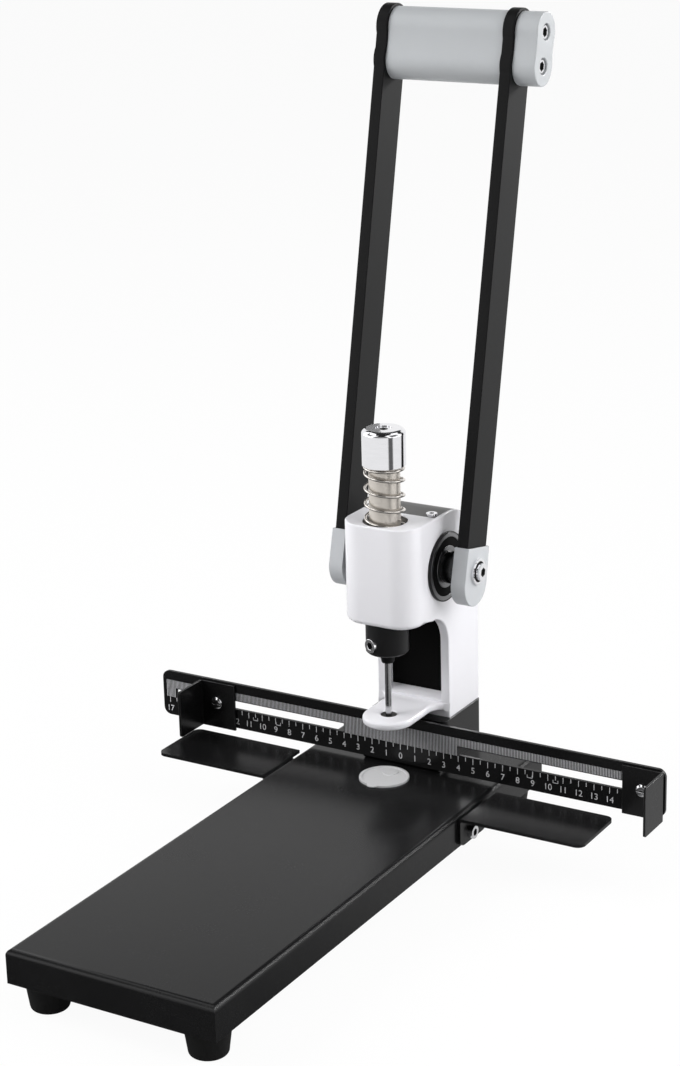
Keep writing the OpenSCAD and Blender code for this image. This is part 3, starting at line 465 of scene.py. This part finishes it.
def gloss_black(graph):
    """Polished black sleeve with a few turning rings."""
    rings = graph.noise(scale=900, detail=2, stretch=(1, 0.1, 0.1))
    base = graph.varied(rings, colour("black_parts"), dark=0.8, light=1.3)
    graph.coat(Base_Color=base, Roughness=0.15 + rings.swing(0.08))


def panel_black(graph):
    """Dead black, in the depth of the throat and of the bearings."""
    grain = graph.noise(scale=900, detail=2)
    base = graph.varied(grain, colour("panel"), dark=0.75, light=1.5)
    graph.coat(Base_Color=base, Specular_IOR_Level=0.05, Roughness=0.7 + grain.swing(0.1))


def scale_ink(graph):
    """Screen-printed ink, thin in places."""
    thin = graph.noise(scale=1800, detail=3)
    base = graph.mixed(graph.eased(thin, low=0.2, high=0.6), shade(colour("ink"), 0.72), colour("ink"))
    graph.coat(Base_Color=base, Roughness=0.55 + thin.swing(0.1))


FINISHES = {make.__name__: make for make in (
    black_coat, arm_coat, worn_edge, white_coat, cover_sheet, chrome, bit_steel, spindle_steel, spring_wire,
    race_steel, socket_dark, steel, bronze, grip_plastic, hub_plastic, white_plastic, rubber, black_parts,
    gloss_black, panel_black, scale_ink,
)}


def solid_of(node):
    """A node's closed solid with its flat faces joined, as a new bmesh."""
    source = frame["nodes"][node].data
    bm = bmesh.new()
    corners = [bm.verts.new(v.co) for v in source.vertices]
    for polygon in source.polygons:
        bm.faces.new([corners[i] for i in polygon.vertices])
    bmesh.ops.remove_doubles(bm, verts=bm.verts, dist=SAME_POINT)
    bmesh.ops.dissolve_limit(bm, angle_limit=FLAT_ANGLE, verts=bm.verts, edges=bm.edges)
    bm.normal_update()
    return bm


def round_edges(bm, edges, radius, steps, material=-1, clamp=True):
    """Rounds edges to a radius in millimetres."""
    if edges:
        bmesh.ops.bevel(bm, geom=edges, affect="EDGES", offset=radius * MM, offset_type="OFFSET",
                        segments=steps, profile=0.5, clamp_overlap=clamp, material=material,
                        loop_slide=True)
        bm.normal_update()


def sharp_edges(bm, angle=EDGE_ANGLE):
    return [e for e in bm.edges if e.is_manifold and e.calc_face_angle(0) > angle]


def shown(name, bm, body, finishes, nodes=()):
    """A bmesh as a finished piece that rides on its body and stands for its nodes."""
    mesh = bpy.data.meshes.new(name)
    bm.to_mesh(mesh)
    bm.free()
    for polygon in mesh.polygons:
        polygon.use_smooth = True
    mesh.set_sharp_from_angle(angle=CREASE_ANGLE)
    for each in finishes:
        mesh.materials.append(finish(each))
    piece = bpy.data.objects.new(name, mesh)
    bpy.context.scene.collection.objects.link(piece)
    even = piece.modifiers.new("even_shade", "WEIGHTED_NORMAL")
    even.keep_sharp = True
    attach(piece, body)
    if nodes:
        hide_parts(*nodes)
    return piece


def body_of(node):
    return next(body for body, nodes in frame["record"]["behaviour"]["bodies"].items() if node in nodes)


def finished(node, name, finishes, radius, steps=2, angle=EDGE_ANGLE):
    """A node with its sharp edges rounded, in its own finish. The last finish is the edges'."""
    bm = solid_of(node)
    round_edges(bm, sharp_edges(bm, angle), radius, steps, material=len(finishes) - 1)
    shown(name, bm, body_of(node), finishes, [node])


def in_recess(tree, face):
    """Whether a face lies in a socket or slot, where it takes painted shade: its own solid stands close by, most
    ways that it looks.
    """
    start = face.calc_center_median() + face.normal * RAY_START
    side = face.normal.orthogonal().normalized()
    ways = [face.normal]
    for turn in range(RAY_COUNT):
        around = Matrix.Rotation(math.tau * turn / RAY_COUNT, 3, face.normal) @ side
        ways.append(face.normal + around * math.tan(RAY_SPREAD))
    hits = [tree.ray_cast(start, way.normalized(), RAY_REACH)[0] for way in ways]
    return sum(hit is not None for hit in hits) >= RAY_HITS


def screw(node, name, radius, hollow=in_recess):
    """A bright screw or washer with painted shade in its hollows, such as the socket or slot of its head."""
    bm = solid_of(node)
    tree = BVHTree.FromBMesh(bm)
    # Faces in the hollows get the painted shade finish instead of chrome
    dark = [face for face in bm.faces if hollow(tree, face)]
    for face in dark:
        face.material_index = 1
    rim = [e for e in sharp_edges(bm) if not all(face.material_index for face in e.link_faces)]
    round_edges(bm, rim, radius, steps=2, material=0)
    shown(name, bm, body_of(node), ("chrome", "socket_dark"), [node])


def painted(node, name):
    """A node that keeps its CAD shape, in a finish."""
    for each in frame["nodes"][node].material_slots:
        each.material = finish(name)


class PUNCH_OT_base(bpy.types.Operator):
    """Base sheet, pedestal, side wings and rubber feet"""

    bl_idname = "punch.base"
    bl_label = "Base"

    pedestal_edge, rubber_edge, screw_edge = 0.6, 0.8, 0.2

    def execute(self, context):
        coat = ("black_coat", "worn_edge")
        finished("base_plate", "base_sheet", coat, size("sheet_edge"))
        finished("pedestal", "pedestal_block", coat, self.pedestal_edge)
        for wing in ("left_wing", "right_wing"):
            finished(wing, f"{wing}_sheet", coat, size("sheet_edge"))
        finished("rubber_feet", "rubber_feet_moulded", ("rubber",), self.rubber_edge, steps=3)
        screw("wing_screws", "wing_screws_turned", self.screw_edge)
        for node in ("foot_screws", "frame_bolts", "pad_cup"):
            painted(node, "steel")
        return {"FINISHED"}


class PUNCH_OT_fence(bpy.types.Operator):
    """Slotted fence with its two sliding stops"""

    bl_idname = "punch.fence"
    bl_label = "Fence and stops"

    screw_edge = 0.15

    def execute(self, context):
        coat = ("black_coat", "worn_edge")
        finished("fence", "fence_strip", coat, size("sheet_edge"))
        for side in ("left", "right"):
            finished(f"{side}_stop", f"{side}_stop_bent", coat, size("sheet_edge"))
            screw(f"{side}_stop_screw", f"{side}_stop_screw_turned", self.screw_edge)
            painted(f"{side}_stop_nut", "steel")
        return {"FINISHED"}


class PUNCH_OT_scale(bpy.types.Operator):
    """Printed centimetre scale on the fence, with numbers that read from the front"""

    bl_idname = "punch.scale"
    bl_label = "Scale"

    # Heights of the band of ticks, of the fence's slot and of the longer ticks below it
    band_top, slot_top, slot_low = 25.8, 20.75, 14.25
    half_low, whole_low, number_z = 11.6, 10.4, 6.4
    # Distances from zero between which the slot cuts the ticks
    slot_in, slot_out = 39.3, 165.7
    long_line_w, short_line_w = 0.42, 0.38
    # Brackets that mark paper widths
    bracket_places = (88, 105)
    bracket_low, bracket_top, bracket_half = 9.6, 11.6, 1.6
    bracket_line_h, bracket_side_w = 0.4, 0.35

    def execute(self, context):
        end = context.scene.punch_sizes.scale_end
        ticks = bmesh.new()
        for x in range(-end, end + 1):
            self.tick(ticks, x)
        for side in (-1, 1):
            for place in self.bracket_places:
                self.bracket(ticks, side * place)
        shown("scale_ticks", ticks, "frame", ("scale_ink",))
        numbers = bmesh.new()
        for label in range(-(end // 10), end // 10 + 1):
            self.number(numbers, label)
        shown("scale_numbers", numbers, "frame", ("scale_ink",))
        return {"FINISHED"}

    def bar(self, bm, x, low, top, width):
        """One printed bar, a thin box on the fence's face."""
        ink = size("ink")
        made = bmesh.ops.create_cube(bm, size=1)["verts"]
        grow = Matrix.Diagonal((width * MM, ink * MM, (top - low) * MM, 1))
        put = Matrix.Translation(at(x, -ink / 2, (low + top) / 2))
        bmesh.ops.transform(bm, matrix=put @ grow, verts=made)

    def tick(self, bm, x):
        """A tick at a millimetre, in two parts where the slot cuts it."""
        low = self.whole_low if x % 10 == 0 else self.half_low if x % 5 == 0 else self.slot_low
        width = self.long_line_w if low < self.slot_low else self.short_line_w
        if not self.slot_in < abs(x) < self.slot_out:
            self.bar(bm, x, low, self.band_top, width)
            return
        self.bar(bm, x, self.slot_top, self.band_top, width)
        if low < self.slot_low:
            self.bar(bm, x, low, self.slot_low, width)

    def bracket(self, bm, x):
        """Mark of a paper width."""
        low, half = self.bracket_low, self.bracket_half
        self.bar(bm, x, low, low + self.bracket_line_h, 2 * half)
        for side in (-half, half):
            self.bar(bm, x + side, low, self.bracket_top, self.bracket_side_w)

    def number(self, bm, label):
        """The number of a centimetre, as raised type that stands on the fence's face."""
        curve = bpy.data.curves.new("scale_number", "FONT")
        curve.body = str(abs(label))
        curve.size = size("number_h") * MM
        curve.align_x, curve.align_y = "CENTER", "CENTER"
        curve.extrude = size("ink") / 2 * MM
        text = bpy.data.objects.new("scale_number", curve)
        bpy.context.scene.collection.objects.link(text)
        bpy.context.view_layer.update()
        mesh = bpy.data.meshes.new_from_object(text.evaluated_get(bpy.context.evaluated_depsgraph_get()))
        put = Matrix.Translation(at(label * 10, -size("ink") / 2, self.number_z))
        mesh.transform(put @ Matrix.Rotation(math.pi / 2, 4, "X"))
        bm.from_mesh(mesh)
        bpy.data.objects.remove(text)
        bpy.data.curves.remove(curve)
        bpy.data.meshes.remove(mesh)


class PUNCH_OT_casting(bpy.types.Operator):
    """White casting with its dark cover and panel"""

    bl_idname = "punch.casting"
    bl_label = "Casting"

    # The casting's outline in the bench frame
    half_w, back_y, head_top = bench_box("column_frame")[1]
    front_y, column_y = -28.5, 17.5
    head_low, foot_low, foot_top = 99, 34, 39
    corner, back_arc, throat_arc = 15, 38, 20
    punch_y = sum(bench_box("spindle_knob"), Vector()).y / 2
    seat_r, bit_hole_r, hole_reach = 13.3, 5, 8
    sheet_edge, screw_edge = 0.3, 0.15
    # How far a point may lie from a plane, an arc or a hole that it counts as on
    off_plane, off_arc, off_hole = 0.02, 0.05, 0.1
    # How far the foot's outline stays in front of the column, and the throat's edge behind its arc's start
    foot_gap, arc_gap = 0.3, 0.5

    def execute(self, context):
        bm = solid_of("column_frame")
        for chosen, radius, steps in (
            (self.on_crown, "casting_top", 5),
            (self.under_head, "casting_low", 6),
            (self.on_foot, "foot_edge", 5),
            (self.in_throat, "throat_edge", 3),
            (self.on_hole, "hole_edge", 3),
        ):
            edges = [e for e in sharp_edges(bm) if chosen(e, *(bench(v.co) for v in e.verts))]
            round_edges(bm, edges, size(radius), steps, clamp=False)
        # The walls of the seat and of the bit's hole take darker bare steel as painted shade
        for face in bm.faces:
            face.material_index = int(self.in_bore(bench(face.calc_center_median())))
        shown("casting_enamelled", bm, "frame", ("white_coat", "steel"), ["column_frame"])
        finished("head_cover", "head_cover_sheet", ("cover_sheet",), self.sheet_edge)
        finished("throat_panel", "throat_panel_sheet", ("panel_black",), self.sheet_edge)
        screw("cover_screws", "cover_screws_turned", self.screw_edge)
        return {"FINISHED"}

    def level(self, value, plane):
        return abs(value - plane) < self.off_plane

    def on_side(self, p):
        return self.level(abs(p.x), self.half_w)

    def on_corner(self, p):
        """On the upright rounded front of the head."""
        across = max(0, abs(p.x) - self.half_w + self.corner)
        ahead = min(0, p.y - self.front_y - self.corner)
        in_front = p.y < self.front_y + self.corner + self.off_plane
        return in_front and abs(math.hypot(across, ahead) - self.corner) < self.off_arc

    def on_crown(self, edge, *ends):
        """Top outline, round back and rear uprights."""
        arc_y, arc_z = self.back_y - self.back_arc, self.head_top - self.back_arc

        def on(p):
            on_back = p.z < arc_z + self.off_plane and self.level(p.y, self.back_y)
            on_arc = p.y > arc_y and abs(math.hypot(p.y - arc_y, p.z - arc_z) - self.back_arc) < self.off_arc
            on_top = self.level(p.z, self.head_top)
            return (self.on_side(p) and (on_top or on_arc or on_back)) or (on_top and self.on_corner(p))

        return all(on(p) for p in ends)

    def under_head(self, edge, *ends):
        """Lower outline of the head, as far as the throat."""
        return all(self.level(p.z, self.head_low) and (self.on_corner(p) or self.on_side(p)) for p in ends)

    def on_foot(self, edge, *ends):
        """Outline of the foot plate in front of the column."""
        before = all(p.y < self.column_y - self.foot_gap for p in ends)
        flat = any(all(self.level(p.z, height) for p in ends) for height in (self.foot_low, self.foot_top))
        clear = all(self.from_axis(p) > self.hole_reach for p in ends)
        return before and flat and clear and edge.is_convex

    def from_axis(self, p):
        return math.hypot(p.x, p.y - self.punch_y)

    def on_hole(self, edge, *ends):
        """Mouths of the spring's seat and of the bit's hole."""
        mouths = ((self.seat_r, self.head_top), (self.bit_hole_r, self.foot_top))
        return all(any(abs(self.from_axis(p) - radius) < self.off_hole and self.level(p.z, height)
                       for radius, height in mouths) for p in ends)

    def in_bore(self, p):
        """On the walls of the spring's seat and of the bit's hole, which take darker bare steel as painted shade.
        """
        seat = (self.seat_r, self.head_low, self.head_top)
        bit_hole = (self.bit_hole_r, self.foot_low, self.foot_top)
        return any(self.from_axis(p) < radius + self.off_arc and low < p.z < high - size("hole_edge")
                   for radius, low, high in (seat, bit_hole))

    def in_throat(self, edge, *ends):
        """Throat curve and upright front edges of the column, on the outside."""
        arc_y, arc_z = self.column_y - self.throat_arc, self.head_low - self.throat_arc

        def on(p):
            from_arc = abs(math.hypot(p.y - arc_y, p.z - arc_z) - self.throat_arc)
            on_arc = from_arc < self.off_arc and p.y > arc_y + self.arc_gap
            on_front = abs(p.y - self.column_y) < self.off_arc and p.z < arc_z + self.off_hole
            return (on_arc or on_front) and p.z > self.foot_top - self.off_hole

        first, second = ends
        return abs(first.x - second.x) < self.off_hole and self.on_side(first) and on(first) and on(second)


class PUNCH_OT_spindle(bpy.types.Operator):
    """Spindle with its knob, chuck and bit"""

    bl_idname = "punch.spindle"
    bl_label = "Spindle"

    spindle_edge, knob_edge, chuck_edge, bit_edge = 0.15, 0.3, 0.4, 0.1
    knob_screw_edge, set_screw_edge = 0.2, 0.3
    # The knob's chamfer, the share of its inner radius from which points are on it, and the least fold
    knob_chamfer, chamfer_share, knob_angle = 2, 0.97, math.radians(24)

    def execute(self, context):
        finished("spindle", "spindle_ground", ("spindle_steel",), self.spindle_edge, angle=CURVED_EDGE_ANGLE)
        self.knob()
        screw("knob_screw", "knob_screw_turned", self.knob_screw_edge)
        finished("chuck", "chuck_blackened", ("black_parts",), self.chuck_edge, steps=3)
        screw("chuck_set_screw", "chuck_set_screw_turned", self.set_screw_edge)
        finished("punch_bit", "punch_bit_ground", ("bit_steel",), self.bit_edge)
        painted("spindle_bush", "bronze")
        return {"FINISHED"}

    def knob(self):
        """Turned knob whose chamfered top edge is polished round."""
        bm = solid_of("spindle_knob")
        low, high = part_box("spindle_knob")
        axis = (low + high) / 2
        rim = ((high.x - low.x) / 2 - self.knob_chamfer * MM) * self.chamfer_share

        def on_crown(v):
            return v.co.z > axis.z and math.hypot(*(v.co - axis).xy) > rim

        crown = [e for e in sharp_edges(bm, self.knob_angle) if all(on_crown(v) for v in e.verts)]
        round_edges(bm, crown, size("knob_top"), steps=6)
        round_edges(bm, sharp_edges(bm, self.knob_angle), self.knob_edge, steps=3)
        shown("spindle_knob_turned", bm, "punch", ("chrome",), ["spindle_knob"])


class PUNCH_OT_spring(bpy.types.Operator):
    """Round-wire spring with closed ends, squeezed between the head and the knob"""

    bl_idname = "punch.spring"
    bl_label = "Return spring"

    # Turns at each end that lie closed, and turns over which the coils then open
    closed, eased = 0.75, 0.25
    steps_a_turn, wire_sides = 40, 14

    def execute(self, context):
        low, high = bench_box("return_spring")
        middle = bench(sum(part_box("spindle"), Vector()) / 2)
        wire, pitch = 2 * size("wire_r"), size("coil_pitch")
        seat, top = low.z + wire / 2, high.z - wire / 2
        rise = wire * self.closed + (wire + pitch) / 2 * self.eased
        end_turns = self.closed + self.eased
        turns = (top - seat - 2 * rise) / pitch + 2 * end_turns
        turns_down = (seat + rise - size("coil_turn_z")) / pitch - end_turns
        start = context.scene.punch_sizes.coil_turn - math.tau * turns_down
        count = round(turns * self.steps_a_turn)
        path = []
        for k in range(count + 1):
            done = turns * k / count
            left = turns - done
            height = seat + self.climb(done, rise) if done <= left else top - self.climb(left, rise)
            path.append((start - math.tau * done, height))
        piece = shown("return_spring_wire", self.tube(path, middle), "frame", ("spring_wire",),
                      ["return_spring"])
        slide = next(joint for joint in frame["joints"] if joint["name"] == "spindle_slide")
        length = high.z - low.z
        (length - slide["range_m"][1] / MM) / length
        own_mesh(piece)
        return {"FINISHED"}

    def climb(self, turns, rise):
        """How far the wire has climbed after so many turns from its end."""
        wire, pitch = 2 * size("wire_r"), size("coil_pitch")
        if turns < self.closed:
            return wire * turns
        opening = turns - self.closed
        if opening < self.eased:
            return wire * turns + (pitch - wire) * opening * opening / (2 * self.eased)
        return rise + pitch * (opening - self.eased)

    def tube(self, path, middle):
        """The wire along its path of angles and heights."""
        bm = bmesh.new()
        rings = []
        for angle, z in path:
            out = Vector((math.cos(angle), math.sin(angle), 0))
            centre = Vector((middle.x, middle.y, z)) + out * size("coil_r")
            ring = []
            for i in range(self.wire_sides):
                turn = math.tau * i / self.wire_sides
                way = out * math.cos(turn) + Vector((0, 0, math.sin(turn)))
                ring.append(bm.verts.new(at(*(centre + way * size("wire_r")))))
            rings.append(ring)
        for first, second in zip(rings, rings[1:]):
            for i in range(self.wire_sides):
                j = (i + 1) % self.wire_sides
                bm.faces.new((first[i], first[j], second[j], second[i]))
        bm.faces.new(rings[0])
        bm.faces.new(reversed(rings[-1]))
        bmesh.ops.recalc_face_normals(bm, faces=bm.faces)
        return bm


class PUNCH_OT_bearings(bpy.types.Operator):
    """Bearings of the lever shaft and the drive inside the head"""

    bl_idname = "punch.bearings"
    bl_label = "Bearings and drive"

    cover_edge, ring_edge, seal_edge, spacer_edge = 0.25, 0.3, 0.2, 0.3

    def execute(self, context):
        finished("bearing_covers", "bearing_covers_turned", ("black_parts",), self.cover_edge)
        finished("bearing_outer_rings", "bearing_outer_rings_ground", ("race_steel",), self.ring_edge)
        finished("bearing_seals", "bearing_seals_moulded", ("panel_black",), self.seal_edge)
        finished("bearing_inner_rings", "bearing_inner_rings_ground", ("race_steel",), self.ring_edge)
        finished("lever_spacers", "lever_spacers_turned", ("gloss_black",), self.spacer_edge)
        for node in ("lever_shaft", "drive_gear", "gear_key"):
            painted(node, "steel")
        return {"FINISHED"}


class PUNCH_OT_lever(bpy.types.Operator):
    """Loop lever: hubs, arms, hand grip and end cap"""

    bl_idname = "punch.lever"
    bl_label = "Lever"

    arm_edge, grip_edge, cap_edge, screw_edge = 0.5, 0.5, 1.0, 0.2
    # A little more than the inner radius of the cup washers
    cup_r = 6.4

    def execute(self, context):
        for side in ("left", "right"):
            finished(f"{side}_hub", f"{side}_hub_moulded", ("hub_plastic",), size("moulded_edge"), steps=3)
            finished(f"{side}_arm", f"{side}_arm_bar", ("arm_coat",), self.arm_edge)
        for node, edge in (("hand_grip", self.grip_edge), ("grip_end_cap", self.cap_edge)):
            finished(node, f"{node}_moulded", ("grip_plastic",), edge, steps=3, angle=CURVED_EDGE_ANGLE)
        screw("pivot_washers", "pivot_washers_plated", self.screw_edge, self.in_cup)
        screw("pivot_screws", "pivot_screws_turned", self.screw_edge)
        screw("grip_screws", "grip_screws_turned", self.screw_edge)
        return {"FINISHED"}

    def in_cup(self, tree, face):
        """Whether a washer's face lies in its cup, round the screw's head, where it takes painted shade."""
        axis = sum(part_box("pivot_washers"), Vector()) / 2
        return all(math.hypot(*(v.co - axis).yz) < self.cup_r * MM for v in face.verts)


class PUNCH_OT_pad(bpy.types.Operator):
    """Turning pad under the bit"""

    bl_idname = "punch.pad"
    bl_label = "Cutting pad"

    pad_edge = 0.3

    def execute(self, context):
        finished("cutting_pad", "cutting_pad_moulded", ("white_plastic",), self.pad_edge, steps=3)
        return {"FINISHED"}


class PUNCH_OT_stage(bpy.types.Operator):
    """Camera, floor, lamps and room"""

    bl_idname = "punch.stage"
    bl_label = "Stage"

    # Places and sizes of the stage, in metres
    floor_half, camera_near, camera_far = 14, 0.05, 60
    lamp_aim = Vector((0, 0.05, 0.2))
    # Share of the floor that is white of itself, and the paper's own colour
    white_share, paper_colour = 0.95, (0.9, 0.9, 0.9, 1)
    # Turn from the camera to the dark strip that metal sees on the floor
    strip_turn = math.radians(34)
    # Way along which the floor close to the punch gets lighter for metal
    lighter_way = (0.6, 1, 0)

    def execute(self, context):
        stage = context.scene.punch_stage
        back = self.camera(stage)
        self.floor(back)
        self.room(stage, back)
        self.lamp("key", stage.key, stage.key, place=(1.5, 0.12, 1.1), lamp_w=1.4, screen_w=2.4)
        self.lamp("fill", stage.fill, stage.fill, place=(-1.4, -0.75, 1.15), lamp_w=1.3, screen_w=2.6)
        self.lamp("top", stage.top, stage.top, place=(0.1, 0.3, 1.9), lamp_w=1.5, screen_w=0.45)
        self.lamp("rim", stage.rim, stage.rim_shine, place=(1.12, 1.75, 0.92), lamp_w=0.4, screen_w=0.4)
        context.scene.view_settings.view_transform = "Standard"
        return {"FINISHED"}

    def camera(self, stage):
        """A camera at the photo's viewing angle. Returns the way from the punch to it."""
        level = Vector((math.cos(stage.azimuth), math.sin(stage.azimuth), 0))
        ahead = Vector((math.sin(stage.azimuth), -math.cos(stage.azimuth), 0))
        back = ahead * math.cos(stage.elevation) + Vector((0, 0, math.sin(stage.elevation)))
        upright = back.cross(level)
        right = level * math.cos(stage.roll) + upright * math.sin(stage.roll)
        up = upright * math.cos(stage.roll) - level * math.sin(stage.roll)
        data = bpy.data.cameras.new("photo_camera")
        data.lens = stage.focal / PHOTO_HEIGHT * data.sensor_width
        data.clip_start, data.clip_end = self.camera_near, self.camera_far
        camera = bpy.data.objects.new("photo_camera", data)
        place = BENCH + right * stage.across + up * stage.up + back * stage.distance
        camera.matrix_world = Matrix.Translation(place) @ Matrix((right, up, back)).transposed().to_4x4()
        bpy.context.scene.collection.objects.link(camera)
        bpy.context.scene.camera = camera
        return back

    def floor(self, back):
        """White paper with a soft shadow. Metal sees it dim close by and in a strip beside the camera."""
        half = self.floor_half
        corners = [(-half, -half, 0), (half, -half, 0), (half, half, 0), (-half, half, 0)]
        mesh = bpy.data.meshes.new("floor")
        mesh.from_pydata(corners, [], [(0, 1, 2, 3)])
        material = bpy.data.materials.new("stage_paper")
        graph = Graph(material)
        level = Vector((back.x, back.y, 0)).normalized()
        strip = Matrix.Rotation(self.strip_turn, 3, "Z") @ level
        where = graph.vectors("SUBTRACT", graph.place(), BENCH)
        ahead = graph.vectors("DOT_PRODUCT", where, strip, out="Value")
        aside = graph.vectors("DOT_PRODUCT", where, self.lighter_way, out="Value")
        reach = graph.vectors("LENGTH", where, out="Value")
        near = graph.eased(aside, low=-0.25, high=0.15, first=0.14, last=0.64)
        far = graph.eased(ahead / reach, low=0.965, high=0.99, first=0.95, last=0.12)
        dim = near + (far - near) * graph.eased(reach, low=0.42, high=0.55)
        paper = graph.node("ShaderNodeBsdfDiffuse", None, {"Color": self.paper_colour})
        lit = graph.node("ShaderNodeMixShader", None, {0: graph.ray("Glossy"), 1: paper, 2: graph.glow(dim)})
        seen = (graph.ray("Camera") + graph.ray("Transmission")).at_most(1) * self.white_share
        graph.surface(graph.node("ShaderNodeMixShader", None, {0: seen, 1: lit, 2: graph.glow(WHITE)}))
        mesh.materials.append(material)
        floor = bpy.data.objects.new("floor", mesh)
        bpy.context.scene.collection.objects.link(floor)

    def room(self, stage, back):
        """White room. Metal sees it darker overhead and behind the camera, as a studio is."""
        world = bpy.data.worlds.new("studio_room")
        bpy.context.scene.world = world
        graph = Graph(world)
        way = graph.node("ShaderNodeTexCoord", out="Generated")
        facing = graph.vectors("DOT_PRODUCT", way, back, out="Value")
        walls = graph.eased(facing, low=-0.1, high=0.75, first=1.0, last=0.28)
        ceiling = graph.eased(graph.upward(way), low=0.45, high=0.56, first=1.0, last=0.05)
        gloss = graph.ray("Glossy")
        seen = (graph.ray("Camera") + graph.ray("Transmission")).at_most(1)
        unseen = walls * ceiling * gloss + (1 - gloss) * stage.ambient
        light = seen + (1 - seen) * unseen
        sky = graph.node("ShaderNodeBackground", None, {"Color": light, "Strength": 1.0})
        graph.node("ShaderNodeOutputWorld", None, {"Surface": sky})

    def lamp(self, name, power, shine, place, lamp_w, screen_w):
        """A soft lamp aimed at the punch. Glossy coats mirror a screen at its place instead."""
        aim = self.lamp_aim - Vector(place)
        for part, width, watts in (("lamp", lamp_w, power), ("screen", screen_w, shine)):
            data = bpy.data.lights.new(f"{name}_{part}", "AREA")
            data.size = width
            data.energy = watts
            lamp = bpy.data.objects.new(f"{name}_{part}", data)
            lamp.location = place
            lamp.rotation_euler = aim.to_track_quat("-Z", "Y").to_euler()
            lamp.visible_glossy = part == "screen"
            lamp.visible_diffuse = part == "lamp"
            bpy.context.scene.collection.objects.link(lamp)


OPERATORS = (
    PUNCH_OT_stage, PUNCH_OT_base, PUNCH_OT_fence, PUNCH_OT_scale, PUNCH_OT_casting, PUNCH_OT_spindle,
    PUNCH_OT_spring, PUNCH_OT_bearings, PUNCH_OT_lever, PUNCH_OT_pad,
)


class PUNCH_PT_panel(bpy.types.Panel):
    """Lists the punch's pieces, sizes, colours and stage"""

    bl_idname = "PUNCH_PT_panel"
    bl_label = "Hole punch"
    bl_space_type = "VIEW_3D"
    bl_region_type = "UI"
    bl_category = "Hole punch"

    def draw(self, context):
        for operator in OPERATORS:
            self.layout.operator(operator.bl_idname)
        for group in (context.scene.punch_sizes, context.scene.punch_colours, context.scene.punch_stage):
            column = self.layout.column()
            for name in group.bl_rna.properties.keys():
                if name not in ("rna_type", "name"):
                    column.prop(group, name)


CLASSES = (PunchSizes, PunchColours, PunchStage, *OPERATORS, PUNCH_PT_panel)


def register():
    for each in CLASSES:
        bpy.utils.register_class(each)
    bpy.types.Scene.punch_sizes = PointerProperty(type=PunchSizes)
    bpy.types.Scene.punch_colours = PointerProperty(type=PunchColours)
    bpy.types.Scene.punch_stage = PointerProperty(type=PunchStage)


def unregister():
    del bpy.types.Scene.punch_stage
    del bpy.types.Scene.punch_colours
    del bpy.types.Scene.punch_sizes
    for each in reversed(CLASSES):
        bpy.utils.unregister_class(each)


def main():
    register()
    for operator in OPERATORS:
        group, name = operator.bl_idname.split(".")
        getattr(getattr(bpy.ops, group), name)()
    bpy.context.view_layer.update()


if __name__ == "__main__":
    main()
